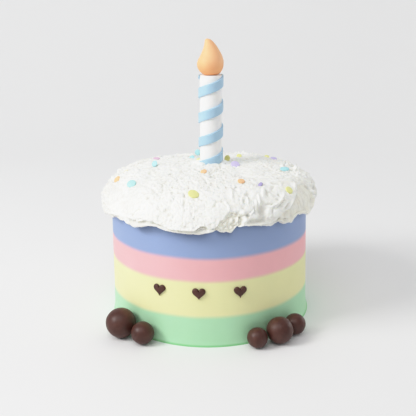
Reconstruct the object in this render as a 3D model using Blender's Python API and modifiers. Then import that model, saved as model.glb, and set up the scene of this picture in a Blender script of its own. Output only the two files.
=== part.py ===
"""Round birthday cake with four pastel frosting bands, a domed cap of whipped cream with
confetti discs, one sugar paste candle, three chocolate hearts and five chocolate truffles.

Metres, +Z up. The front looks towards -Y. The origin is the centre of the cake's underside.
An azimuth is measured round the cake in degrees: 0 is the front, positive is to the right.
"""
import math
import random

import bmesh
import bpy
from mathutils import Matrix, Vector, noise
from mathutils.bvhtree import BVHTree

# Whole cake: a round cake that narrows a little towards the top
CAKE_RADIUS = 0.0810
CAKE_HEIGHT = 0.0980
TAPER_PER_METRE = 0.24
FOOT_FLARE = 0.0009
FLARE_HEIGHT = 0.0025
PIECE_GAP = 0.0003
CAKE_STEPS = 72

# Frosting bands, from the foot up: name, height of the top, colour
BANDS = (
    ("band_green", 0.0239, (0.40, 0.70, 0.43)),
    ("band_yellow", 0.0522, (0.77, 0.76, 0.42)),
    ("band_pink", 0.0699, (0.80, 0.46, 0.48)),
    ("band_blue", CAKE_HEIGHT, (0.28, 0.37, 0.60)),
)
FOOT_ROWS = 3

# Cream cap: a dome over the top that hangs a little way down the side
CREAM_RADIUS = 0.0880
WIDEST_HEIGHT = 0.0970
CROWN_HEIGHT = 0.0076
SHOULDER_HEIGHT = 0.0184
SHOULDER_POWER = 8.4
CREAM_TOP = WIDEST_HEIGHT + CROWN_HEIGHT + SHOULDER_HEIGHT
REAR_FALL = 0.0039
EDGE_HEIGHT = 0.0902
EDGE_RADIUS = 0.0825
EDGE_CURL = 0.0012
CREAM_STEPS = 144
DOME_ROWS = 14
SIDE_ROWS = 4
LUMP_SIZE = 0.016
LUMP_DEPTH = 0.0013
ROUGH_SIZE = 0.0065
ROUGH_DEPTH = 0.0006

# Lower edge of the cream at the front: azimuth, rise above the usual height, half width in degrees
EDGE_SCALLOPS = (
    (-64, -0.0010, 4.0),
    (-57, 0.0010, 4.0),
    (-47, 0.0012, 3.0),
    (-31, 0.0030, 4.0),
    (-24, 0.0012, 4.0),
    (3, 0.0036, 2.6),
    (14, 0.0038, 3.5),
    (24, 0.0038, 5.0),
    (37, 0.0030, 3.0),
    (55, 0.0024, 5.0),
    (66, -0.0020, 4.0),
)
# The edge goes on round the back in three overlapping waves: how many, depth, phase
EDGE_WAVES = ((7, 0.0016, 0.4), (13, 0.0011, 2.0), (22, 0.0009, 1.1))
BACK_STARTS = 68.0
BACK_BLENDS = 12.0

# Broad swells of the top: azimuth, distance from the centre, reach, height (a dip is negative)
SWELLS = (
    (138, 0.055, 0.022, 0.0022),
    (180, 0.044, 0.022, -0.0020),
    (-100, 0.070, 0.014, -0.0014),
)

# Folds left by the palette knife: azimuth and height of both ends, sag between them,
# half width, height (a hollow is negative)
FRONT_FOLDS = (
    (28, 0.1090, 50, 0.1150, 0.0035, 0.0032, 0.0020),
    (32, 0.1035, 50, 0.1085, 0.0022, 0.0030, 0.0020),
    (14, 0.0975, 17, 0.1070, 0.0000, 0.0034, 0.0018),
    (17, 0.0965, 31, 0.0975, 0.0005, 0.0032, 0.0014),
    (22, 0.1045, 30, 0.1040, 0.0010, 0.0060, -0.0024),
    (46, 0.0985, 62, 0.1050, 0.0010, 0.0075, -0.0022),
    (-24, 0.0965, 2, 0.0950, 0.0020, 0.0030, 0.0012),
    (-22, 0.1015, 0, 0.0995, 0.0010, 0.0036, -0.0010),
    (4, 0.0985, 8, 0.1040, 0.0000, 0.0055, -0.0018),
)
BACK_FOLDS = 15
FOLD_STEPS = 7
HALVINGS = 20

# Confetti on the cream: azimuth, distance from the centre, radius, lean in degrees
FRONT_CONFETTI = (
    (-122, 0.0520, 0.0026, 30),
    (-101, 0.0454, 0.0027, 60),
    (-78, 0.0738, 0.0025, 35),
    (-89, 0.0666, 0.0022, 10),
    (-55, 0.0709, 0.0032, 8),
    (-8.5, 0.0705, 0.0035, 6),
    (-8, 0.0263, 0.0030, 12),
    (-142, 0.0130, 0.0020, 15),
    (-157, 0.0313, 0.0027, 50),
    (-166, 0.0450, 0.0026, 40),
    (128, 0.0200, 0.0030, 70),
    (73, 0.0230, 0.0034, 6),
    (134, 0.0362, 0.0024, 12),
    (124, 0.0600, 0.0024, 15),
    (118, 0.0645, 0.0030, 10),
    (81, 0.0616, 0.0033, 10),
    (26, 0.0548, 0.0028, 8),
    (36, 0.0652, 0.0019, 20),
    (49, 0.0784, 0.0026, 15),
)
BACK_CONFETTI = 12
CONFETTI_THICKNESS = 0.0014
CONFETTI_SIDES = 8

# Candle: a round stick with a flat ribbon wound up it and a drop-shaped flame on top
CANDLE_X = 0.0028
CANDLE_Y = 0.0
STICK_RADIUS = 0.0087
STICK_FOOT = 0.1160
STICK_TOP = 0.1930
STICK_EDGE = 0.0007
STICK_STEPS = 32
CALM_RADIUS = 0.0130
CALM_BLEND = 0.0060
RIBBON_HEIGHT = 0.0078
RIBBON_OUTER = 0.0099
RIBBON_ROUND = 0.0004
RIBBON_PITCH = 0.0196
RIBBON_LEVEL_RIGHT = 0.1298
RIBBON_FOOT = 0.1242
RIBBON_STEPS = 24
FLAME_FOOT_RADIUS = 0.0066
FLAME_RADIUS = 0.0104
FLAME_WIDEST = 0.0086
FLAME_HEIGHT = 0.0273
FLAME_TIP_RADIUS = 0.0022
FLAME_LEAN = 0.0021
FLAME_ROWS = 12
FLAME_STEPS = 24

# Chocolate hearts in a row on the yellow band
HEART_AZIMUTHS = (-28, -6, 16)
HEART_LEVEL = 0.0435
HEART_HALF_WIDTH = 0.0050
HEART_THICKNESS = 0.0018
HEART_ROUND = 0.0004

# Chocolate truffles round the cake's foot: azimuth where a group starts, radii in the group
TRUFFLE_GROUPS = ((-48, (0.0120, 0.0090)), (23, (0.0080, 0.0105, 0.0085)))
TRUFFLE_FLAT = 0.0004
TRUFFLE_SEGMENTS = 16
TRUFFLE_RINGS = 9

SEED = 11


def clear_scene():
    for old in list(bpy.context.scene.objects):
        bpy.data.objects.remove(old, do_unlink=True)


def new_collection(name):
    collection = bpy.data.collections.new(name)
    bpy.context.scene.collection.children.link(collection)
    return collection


def new_material(name, colour, roughness):
    made = bpy.data.materials.new(name)
    made.use_nodes = True
    shader = made.node_tree.nodes["Principled BSDF"]
    shader.inputs["Base Color"].default_value = (*colour, 1.0)
    shader.inputs["Roughness"].default_value = roughness
    shader.inputs["Metallic"].default_value = 0.0
    made.diffuse_color = (*colour, 1.0)
    return made


def add_object(name, mesh, collection, surface):
    made = bpy.data.objects.new(name, mesh)
    if surface:
        mesh.materials.append(surface)
    collection.objects.link(made)
    return made


def profile_mesh(name, points, closed=False):
    """A line of (radius, height) points in the XZ plane."""
    mesh = bpy.data.meshes.new(name)
    edges = [(i, i + 1) for i in range(len(points) - 1)]
    if closed:
        edges.append((len(points) - 1, 0))
    mesh.from_pydata([(radius, 0.0, height) for radius, height in points], edges, [])
    return mesh


def add_turned(name, points, steps, collection, surface):
    """A solid of revolution from a profile that runs from the top centre to the bottom centre."""
    made = add_object(name, profile_mesh(name, points), collection, surface)
    screw = made.modifiers.new("Turn", "SCREW")
    screw.axis = "Z"
    screw.steps = steps
    screw.render_steps = steps
    screw.use_merge_vertices = True
    screw.merge_threshold = 0.00001
    return made


def as_mesh(made):
    """Turns an object with modifiers into a plain mesh object of the same shape."""
    bpy.context.view_layer.update()
    evaluated = made.evaluated_get(bpy.context.evaluated_depsgraph_get())
    mesh = bpy.data.meshes.new_from_object(evaluated)
    made.modifiers.clear()
    made.data = mesh
    return mesh


def around(azimuth, distance, height):
    """The point at an azimuth in degrees, a distance from the axis and a height."""
    angle = math.radians(azimuth)
    return Vector((distance * math.sin(angle), -distance * math.cos(angle), height))


def azimuth_of(point):
    return math.degrees(math.atan2(point.x, -point.y))


def smooth_step(value):
    value = min(max(value, 0.0), 1.0)
    return value * value * (3.0 - 2.0 * value)


def side_radius(height):
    """Radius of the frosted side, wider at the foot."""
    flare = FOOT_FLARE * math.exp(-height / FLARE_HEIGHT)
    return CAKE_RADIUS * (1.0 - TAPER_PER_METRE * height) + flare


def add_bands(collection):
    """One full disc of cake and frosting for each colour."""
    base = 0.0
    for name, top, colour in BANDS:
        points = [(0.0, top), (side_radius(top), top)]
        if base == 0.0:
            for row in range(FOOT_ROWS, 0, -1):
                height = row * FLARE_HEIGHT
                points.append((side_radius(height), height))
        points += [(side_radius(base), base), (0.0, base)]
        add_turned(name, points, CAKE_STEPS, collection, new_material(name, colour, 0.55))
        base = top + PIECE_GAP


def dome_height(distance):
    """Height of the cream's smooth top at a distance from the axis."""
    share = min(distance / CREAM_RADIUS, 1.0)
    crown = CROWN_HEIGHT * (1.0 - share ** 2)
    return WIDEST_HEIGHT + crown + SHOULDER_HEIGHT * math.sqrt(1.0 - share ** SHOULDER_POWER)


def cream_distance(height):
    """Distance from the axis of the cream's smooth surface at a height."""
    if height >= WIDEST_HEIGHT:
        low, high = 0.0, CREAM_RADIUS
        for _ in range(HALVINGS):
            middle = (low + high) / 2
            low, high = (middle, high) if dome_height(middle) > height else (low, middle)
        return high
    fall = (WIDEST_HEIGHT - height) / (WIDEST_HEIGHT - EDGE_HEIGHT)
    return EDGE_RADIUS + (CREAM_RADIUS - EDGE_RADIUS) * math.sqrt(max(1.0 - fall * fall, 0.0))


def cream_profile():
    points = []
    for row in range(DOME_ROWS + 1):
        distance = CREAM_RADIUS * math.sin(math.pi / 2 * row / DOME_ROWS)
        points.append((distance, dome_height(distance)))
    for row in range(1, SIDE_ROWS + 1):
        turn = math.pi / 2 * row / SIDE_ROWS
        distance = EDGE_RADIUS + (CREAM_RADIUS - EDGE_RADIUS) * math.cos(turn)
        points.append((distance, WIDEST_HEIGHT - (WIDEST_HEIGHT - EDGE_HEIGHT) * math.sin(turn)))
    inner = side_radius(EDGE_HEIGHT) + PIECE_GAP
    floor = CAKE_HEIGHT + PIECE_GAP
    return points + [(inner, EDGE_HEIGHT + EDGE_CURL), (inner, floor), (0.0, floor)]


def edge_rise(azimuth):
    """How far the cream's lower edge is above its usual height."""
    front = sum(rise * math.exp(-((azimuth - place) / half) ** 2) for place, rise, half in EDGE_SCALLOPS)
    turn = math.radians(azimuth)
    back = sum(depth * math.sin(count * turn + phase) for count, depth, phase in EDGE_WAVES)
    return front + back * smooth_step((abs(azimuth) - BACK_STARTS) / BACK_BLENDS)


def fold_line(fold):
    """Points on the smooth cream along one fold."""
    start, start_height, end, end_height, sag = fold[:5]
    line = []
    for step in range(FOLD_STEPS + 1):
        part = step / FOLD_STEPS
        height = start_height + (end_height - start_height) * part - 4.0 * sag * part * (1.0 - part)
        line.append(around(start + (end - start) * part, cream_distance(height), height))
    return line


def all_folds():
    """The folds at the front, and more of the same kind round the back."""
    draw = random.Random(SEED)
    folds = list(FRONT_FOLDS)
    for index in range(BACK_FOLDS):
        start = 76 + (index + draw.uniform(-0.3, 0.3)) * 190 / BACK_FOLDS
        height = draw.choice((0.0975, 0.1035, 0.1085)) + draw.uniform(-0.001, 0.001)
        end = start + draw.uniform(9, 19)
        deep = draw.choice((-1.0, 1.0, 1.0))
        half = draw.uniform(0.0030, 0.0042)
        rise = draw.uniform(-0.001, 0.004)
        folds.append((start, height, end, height + rise, 0.0015, half, deep * draw.uniform(0.0012, 0.0020)))
    return [(fold_line(fold), fold[5], fold[6]) for fold in folds]


def fold_height(point, folds):
    total = 0.0
    for line, half, height in folds:
        near = min((point - place).length_squared for place in line)
        total += height * math.exp(-near / (half * half))
    return total


def swell_height(point):
    total = 0.0
    for azimuth, distance, reach, height in SWELLS:
        away = (point - around(azimuth, distance, dome_height(distance))).length
        total += height * math.exp(-((away / reach) ** 2))
    return total


def shape_cream(mesh):
    """Pulls the turned dome into its uneven edge, lumps and folds."""
    folds = all_folds()
    inner = side_radius(EDGE_HEIGHT) + PIECE_GAP
    floor = CAKE_HEIGHT + PIECE_GAP
    candle = Vector((CANDLE_X, CANDLE_Y))
    margin = 0.0001
    normals = [vertex.normal.copy() for vertex in mesh.vertices]
    for vertex, normal in zip(mesh.vertices, normals):
        place = vertex.co.copy()
        distance = place.xy.length
        outside = distance > inner + margin or place.z > floor + margin
        drop = max(WIDEST_HEIGHT - place.z, 0.0) / (WIDEST_HEIGHT - EDGE_HEIGHT)
        vertex.co.z += edge_rise(azimuth_of(place)) * drop if distance > margin else 0.0
        if not outside:
            continue
        relief = LUMP_DEPTH * noise.noise(place / LUMP_SIZE)
        relief += ROUGH_DEPTH * noise.noise(place / ROUGH_SIZE)
        relief += fold_height(place, folds) + swell_height(place)
        calm = smooth_step(((place.xy - candle).length - CALM_RADIUS) / CALM_BLEND)
        hold = 1.0 - 0.6 * smooth_step(drop)
        vertex.co += normal * relief * calm * hold
        behind = max(place.y, 0.0) / CREAM_RADIUS
        vertex.co.z -= REAR_FALL * behind * (1.0 - (distance / CREAM_RADIUS) ** 6) * calm


def confetti_places():
    """The discs at the front, and more of the same kind round the back."""
    draw = random.Random(SEED)
    places = list(FRONT_CONFETTI)
    for index in range(BACK_CONFETTI):
        azimuth = 112 + (index + draw.uniform(-0.3, 0.3)) * 145 / BACK_CONFETTI
        distance = draw.choice((0.067, 0.073, 0.079)) + draw.uniform(-0.002, 0.003)
        places.append((azimuth, distance, draw.uniform(0.0020, 0.0034), draw.uniform(5, 25)))
    return places


def add_confetti(cream, pieces):
    """Flat discs laid on the cream where a line straight down meets it."""
    bpy.context.view_layer.update()
    surface = BVHTree.FromObject(cream, bpy.context.evaluated_depsgraph_get())
    for index, (azimuth, distance, radius, lean) in enumerate(confetti_places()):
        above = around(azimuth, distance, CREAM_TOP * 2)
        place, normal = surface.ray_cast(above, Vector((0.0, 0.0, -1.0)))[:2]
        disc = bmesh.new()
        bmesh.ops.create_cone(
            disc, cap_ends=True, segments=CONFETTI_SIDES, radius1=radius, radius2=radius, depth=CONFETTI_THICKNESS
        )
        mesh = bpy.data.meshes.new("confetti")
        disc.to_mesh(mesh)
        disc.free()
        made = add_object(f"confetti_{index}", mesh, pieces, None)
        upright = Vector((0.0, 0.0, 1.0)).rotation_difference(normal).to_matrix().to_4x4()
        tilt = Matrix.Rotation(math.radians(lean), 4, "X")
        lift = normal * radius * math.sin(math.radians(lean)) * 0.6
        made.matrix_world = Matrix.Translation(place + lift) @ upright @ tilt


def apply_boolean(made, operation, solver, **operand):
    cut = made.modifiers.new(operation.title(), "BOOLEAN")
    cut.operation = operation
    cut.solver = solver
    for key, value in operand.items():
        setattr(cut, key, value)
    as_mesh(made)


def add_cream(collection, cutters):
    """The cap: dome, drape and folds, a pocket for the candle, and confetti fused on."""
    surface = new_material("cream", (0.93, 0.92, 0.88), 0.6)
    cream = add_turned("cream", cream_profile(), CREAM_STEPS, collection, surface)
    shape_cream(as_mesh(cream))
    pocket_top = CREAM_TOP * 2
    pocket_radius = STICK_RADIUS + PIECE_GAP
    profile = [(0.0, pocket_top), (pocket_radius, pocket_top)]
    profile += [(pocket_radius, STICK_FOOT - PIECE_GAP), (0.0, STICK_FOOT - PIECE_GAP)]
    pocket = add_turned("candle_pocket", profile, STICK_STEPS, cutters, None)
    pocket.location = (CANDLE_X, CANDLE_Y, 0.0)
    pocket.hide_render = True
    pocket.display_type = "WIRE"
    apply_boolean(cream, "DIFFERENCE", "EXACT", object=pocket)
    pieces = new_collection("confetti")
    add_confetti(cream, pieces)
    apply_boolean(cream, "UNION", "MANIFOLD", operand_type="COLLECTION", collection=pieces)
    for piece in list(pieces.objects):
        bpy.data.objects.remove(piece, do_unlink=True)
    bpy.data.collections.remove(pieces)


def add_stick(collection):
    """The candle's round body, standing in the cream's pocket."""
    points = [(0.0, STICK_TOP), (STICK_RADIUS - STICK_EDGE, STICK_TOP), (STICK_RADIUS, STICK_TOP - STICK_EDGE)]
    points += [(STICK_RADIUS, STICK_FOOT), (0.0, STICK_FOOT)]
    surface = new_material("candle_stick", (0.90, 0.90, 0.88), 0.5)
    stick = add_turned("candle_stick", points, STICK_STEPS, collection, surface)
    stick.location = (CANDLE_X, CANDLE_Y, 0.0)


def add_ribbon(collection):
    """A flat strip wound up the stick, cut level at the cream and at the stick's top."""
    inner = STICK_RADIUS + PIECE_GAP
    half = RIBBON_HEIGHT / 2
    points = [(inner, half), (RIBBON_OUTER - RIBBON_ROUND, half), (RIBBON_OUTER, half - RIBBON_ROUND)]
    points += [(radius, -height) for radius, height in reversed(points)]
    surface = new_material("candle_ribbon", (0.40, 0.64, 0.80), 0.5)
    ribbon = add_object("candle_ribbon", profile_mesh("ribbon", points, closed=True), collection, surface)
    turns = 6
    screw = ribbon.modifiers.new("Wind", "SCREW")
    screw.axis = "Z"
    screw.steps = RIBBON_STEPS
    screw.render_steps = RIBBON_STEPS
    screw.iterations = turns
    screw.screw_offset = RIBBON_PITCH
    mesh = as_mesh(ribbon)
    lift = RIBBON_LEVEL_RIGHT - RIBBON_PITCH
    body = bmesh.new()
    body.from_mesh(mesh)
    bmesh.ops.translate(body, verts=body.verts, vec=(0.0, 0.0, lift))
    for level, upwards in ((RIBBON_FOOT, -1.0), (STICK_TOP, 1.0)):
        whole = body.verts[:] + body.edges[:] + body.faces[:]
        bmesh.ops.bisect_plane(
            body, geom=whole, plane_co=(0.0, 0.0, level), plane_no=(0.0, 0.0, upwards), clear_outer=True
        )
        bmesh.ops.holes_fill(body, edges=[edge for edge in body.edges if edge.is_boundary])
    bmesh.ops.recalc_face_normals(body, faces=body.faces)
    body.to_mesh(mesh)
    body.free()
    ribbon.location = (CANDLE_X, CANDLE_Y, 0.0)


def flame_radius(height):
    """Half the flame's width: a full belly that draws in to a rounded tip."""
    if height <= FLAME_WIDEST:
        rise = 1.0 - height / FLAME_WIDEST
        return FLAME_FOOT_RADIUS + (FLAME_RADIUS - FLAME_FOOT_RADIUS) * math.sqrt(1.0 - rise ** 2.2)
    rise = (height - FLAME_WIDEST) / (FLAME_HEIGHT - FLAME_WIDEST)
    return FLAME_TIP_RADIUS + (FLAME_RADIUS - FLAME_TIP_RADIUS) * (1.0 - rise ** 1.45)


def add_flame(collection):
    """A drop with a flat foot on the stick, its tip leaning to the left."""
    foot = STICK_TOP + PIECE_GAP
    points = [(0.0, FLAME_HEIGHT)]
    for row in range(FLAME_ROWS, -1, -1):
        height = (FLAME_HEIGHT - FLAME_TIP_RADIUS / 3) * row / FLAME_ROWS
        points.append((flame_radius(height), height))
    points.append((0.0, 0.0))
    flame = add_turned("flame", points, FLAME_STEPS, collection, new_material("flame", (0.92, 0.50, 0.23), 0.5))
    flame.location = (CANDLE_X, CANDLE_Y, foot)
    for vertex in as_mesh(flame).vertices:
        lean = smooth_step((vertex.co.z - FLAME_WIDEST) / (FLAME_HEIGHT - FLAME_WIDEST))
        vertex.co.x -= FLAME_LEAN * lean


def heart_outline(steps):
    """Points round a heart that is two units wide."""
    points = []
    for step in range(steps):
        turn = 2.0 * math.pi * step / steps
        across = math.sin(turn) ** 3
        up = (13 * math.cos(turn) - 5 * math.cos(2 * turn) - 2 * math.cos(3 * turn) - math.cos(4 * turn)) / 16
        points.append((across, up))
    return points


def add_hearts(collection):
    """Flat hearts with rounded edges, upright against the yellow frosting."""
    surface = new_material("chocolate_heart", (0.075, 0.030, 0.022), 0.35)
    outline = heart_outline(28)
    for number, azimuth in enumerate(HEART_AZIMUTHS, 1):
        curve = bpy.data.curves.new("heart", "CURVE")
        curve.dimensions = "2D"
        curve.fill_mode = "BOTH"
        curve.extrude = HEART_THICKNESS / 2 - HEART_ROUND
        curve.bevel_depth = HEART_ROUND
        curve.bevel_resolution = 0
        spline = curve.splines.new("POLY")
        spline.points.add(len(outline) - 1)
        spline.use_cyclic_u = True
        reach = HEART_HALF_WIDTH - HEART_ROUND
        for point, (across, up) in zip(spline.points, outline):
            point.co = (across * reach, up * reach, 0.0, 1.0)
        drawn = bpy.data.objects.new("heart", curve)
        collection.objects.link(drawn)
        bpy.context.view_layer.update()
        mesh = bpy.data.meshes.new_from_object(drawn.evaluated_get(bpy.context.evaluated_depsgraph_get()))
        bpy.data.objects.remove(drawn, do_unlink=True)
        welded = bmesh.new()
        welded.from_mesh(mesh)
        bmesh.ops.remove_doubles(welded, verts=welded.verts, dist=0.00001)
        bmesh.ops.recalc_face_normals(welded, faces=welded.faces)
        welded.to_mesh(mesh)
        welded.free()
        heart = add_object(f"heart_{number}", mesh, collection, surface)
        standoff = side_radius(HEART_LEVEL - HEART_HALF_WIDTH) + PIECE_GAP + HEART_THICKNESS / 2
        heart.location = around(azimuth, standoff, HEART_LEVEL)
        heart.rotation_euler = (math.pi / 2, 0.0, math.radians(azimuth))


def truffle_distance(radius):
    """From the cake's axis to the middle of a truffle that touches its side."""
    return side_radius(radius) + PIECE_GAP + radius


def truffle_places():
    """Azimuth and radius of each truffle: each one in a group touches the one before it."""
    places = []
    for azimuth, radii in TRUFFLE_GROUPS:
        places.append((azimuth, radii[0]))
        for before, radius in zip(radii, radii[1:]):
            apart = math.sqrt((before + radius + PIECE_GAP) ** 2 - (before - radius) ** 2)
            near, far = truffle_distance(before), truffle_distance(radius)
            azimuth += math.degrees(math.acos((near ** 2 + far ** 2 - apart ** 2) / (2 * near * far)))
            places.append((azimuth, radius))
    return places


def add_truffles(collection):
    """Balls with a small flat where they rest, each touching the cake's foot."""
    surface = new_material("chocolate_truffle", (0.075, 0.030, 0.022), 0.35)
    for number, (azimuth, radius) in enumerate(truffle_places(), 1):
        body = bmesh.new()
        bmesh.ops.create_uvsphere(body, u_segments=TRUFFLE_SEGMENTS, v_segments=TRUFFLE_RINGS, radius=radius)
        level = TRUFFLE_FLAT - radius
        whole = body.verts[:] + body.edges[:] + body.faces[:]
        bmesh.ops.bisect_plane(
            body, geom=whole, plane_co=(0.0, 0.0, level), plane_no=(0.0, 0.0, -1.0), clear_outer=True
        )
        bmesh.ops.holes_fill(body, edges=[edge for edge in body.edges if edge.is_boundary])
        bmesh.ops.recalc_face_normals(body, faces=body.faces)
        mesh = bpy.data.meshes.new("truffle")
        body.to_mesh(mesh)
        body.free()
        mesh.shade_smooth()
        truffle = add_object(f"truffle_{number}", mesh, collection, surface)
        truffle.location = around(azimuth, truffle_distance(radius), radius - TRUFFLE_FLAT)


def main():
    clear_scene()
    cake = new_collection("birthday_cake")
    cutters = new_collection("cutters")
    add_bands(cake)
    add_cream(cake, cutters)
    add_stick(cake)
    add_ribbon(cake)
    add_flame(cake)
    add_hearts(cake)
    add_truffles(cake)


main()
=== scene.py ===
import bmesh
import bpy
import math
import numpy as np
import random
from mathutils import Matrix, Vector, noise
from mathutils.bvhtree import BVHTree


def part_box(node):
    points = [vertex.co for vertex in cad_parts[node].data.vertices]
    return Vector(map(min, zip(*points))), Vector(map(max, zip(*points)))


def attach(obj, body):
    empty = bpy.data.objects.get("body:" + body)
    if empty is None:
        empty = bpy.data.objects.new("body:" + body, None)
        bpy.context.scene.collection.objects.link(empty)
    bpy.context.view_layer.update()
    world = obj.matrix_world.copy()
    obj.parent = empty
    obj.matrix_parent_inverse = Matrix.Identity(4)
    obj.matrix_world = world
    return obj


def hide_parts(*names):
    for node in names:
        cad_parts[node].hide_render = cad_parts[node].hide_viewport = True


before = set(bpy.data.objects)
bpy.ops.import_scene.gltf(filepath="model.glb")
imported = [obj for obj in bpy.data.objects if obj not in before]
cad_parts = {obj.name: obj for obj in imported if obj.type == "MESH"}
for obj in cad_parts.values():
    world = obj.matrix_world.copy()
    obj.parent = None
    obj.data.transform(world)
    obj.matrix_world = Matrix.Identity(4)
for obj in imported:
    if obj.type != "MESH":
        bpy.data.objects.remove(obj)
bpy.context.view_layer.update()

# Camera
# A portrait lens a little over half a metre away, looking down on the cake by about 17 degrees.
LENS = 60.56
CAMERA_PLACE = (-0.00084, -0.55239, 0.25530)
CAMERA_DOWN = math.radians(17.21)
CAMERA_ROLL = -0.0134
camera_data = bpy.data.cameras.new("camera")
camera_data.lens = LENS
camera_data.sensor_width = 36.0
camera_data.clip_start = 0.01
camera_data.clip_end = 20.0
camera = bpy.data.objects.new("camera", camera_data)
bpy.context.scene.collection.objects.link(camera)
look = Matrix.Rotation(math.pi / 2 - CAMERA_DOWN, 4, "X") @ Matrix.Rotation(CAMERA_ROLL, 4, "Z")
camera.matrix_world = Matrix.Translation(CAMERA_PLACE) @ look
bpy.context.scene.camera = camera

# Frosted side
# Smooth buttercream in four pastel colours, piped on in rings and scraped level against a turning
# board, so that the colours run into each other over a few millimetres. The scraper leaves fine
# level lines, and squeezes a thin darker line of green out at the foot.
SIDE_RADIUS = 0.0810
SIDE_TAPER = 0.24
FOOT_FLARE = 0.0009
FLARE_HEIGHT = 0.0025
SIDE_SEGMENTS = 256
ROW_HEIGHT = 0.0016
WAVER_SIZE = 0.030
WAVER_DEPTH = 0.00022
FOOT_SQUEEZE_AZIMUTH = 80.0
FOOT_SQUEEZE = 0.0007
EDGE_BLEND = 0.0042
EDGE_WANDER = 0.0016
SIDE_COLOURS = {
    "green_frosting": (0.455, 0.765, 0.490),
    "yellow_frosting": (0.842, 0.824, 0.445),
    "pink_frosting": (0.906, 0.478, 0.500),
    "blue_frosting": (0.304, 0.400, 0.642),
}
FOOT_LINE_COLOUR = (0.22, 0.60, 0.24)
# Painted shade on the blue frosting just below the cream's edge
UNDER_CREAM_PAINTED_SHADE = (0.50, 0.52, 0.57, 1.0)


def azimuth_of(x, y):
    """Degrees round the cake: 0 is the front, positive is to the right."""
    return math.degrees(math.atan2(x, -y))


def side_radius(height):
    return SIDE_RADIUS * (1.0 - SIDE_TAPER * height) + FOOT_FLARE * math.exp(-height / FLARE_HEIGHT)


def add_node(nodes, kind, **values):
    """A shader node; a value for a socket is given by the socket's name."""
    node = nodes.new(kind)
    for key, value in values.items():
        if hasattr(node, key):
            setattr(node, key, value)
        else:
            node.inputs[key.replace("_", " ")].default_value = value
    return node


def new_surface(name, **values):
    """A material, with its nodes, links and shader; a value for a shader socket goes by its name."""
    surface = bpy.data.materials.new(name)
    surface.use_nodes = True
    nodes, links = surface.node_tree.nodes, surface.node_tree.links
    shader = nodes["Principled BSDF"]
    for key, value in values.items():
        shader.inputs[key.replace("_", " ")].default_value = value
    return surface, nodes, links, shader


def finish_piece(piece, name, slot_name, surface, *replaced):
    """Names a piece, gives it its material and ties it to the frame."""
    piece.name = name
    piece.data.name = name
    piece.data.materials.clear()
    piece.data.materials.append(surface)
    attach(piece, "root")
    if replaced:
        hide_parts(*replaced)


def blend_colours(nodes, links, share, stops):
    """Colours that follow a share from 0 to 1 through (place, colour) stops."""
    ramp = nodes.new("ShaderNodeValToRGB")
    for index, (where, colour) in enumerate(stops):
        stop = ramp.color_ramp.elements[index] if index < 2 else ramp.color_ramp.elements.new(where)
        stop.position = where
        stop.color = (*colour, 1.0)
    links.new(share, ramp.inputs["Fac"])
    return ramp


def pick_edges(piece, wanted):
    """In edit mode, selects the edges that pass a test and no others."""
    bpy.ops.mesh.select_mode(type="EDGE")
    bpy.ops.mesh.select_all(action="DESELECT")
    mesh = bmesh.from_edit_mesh(piece.data)
    for edge in mesh.edges:
        edge.select = wanted(edge)
    bmesh.update_edit_mesh(piece.data)


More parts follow.
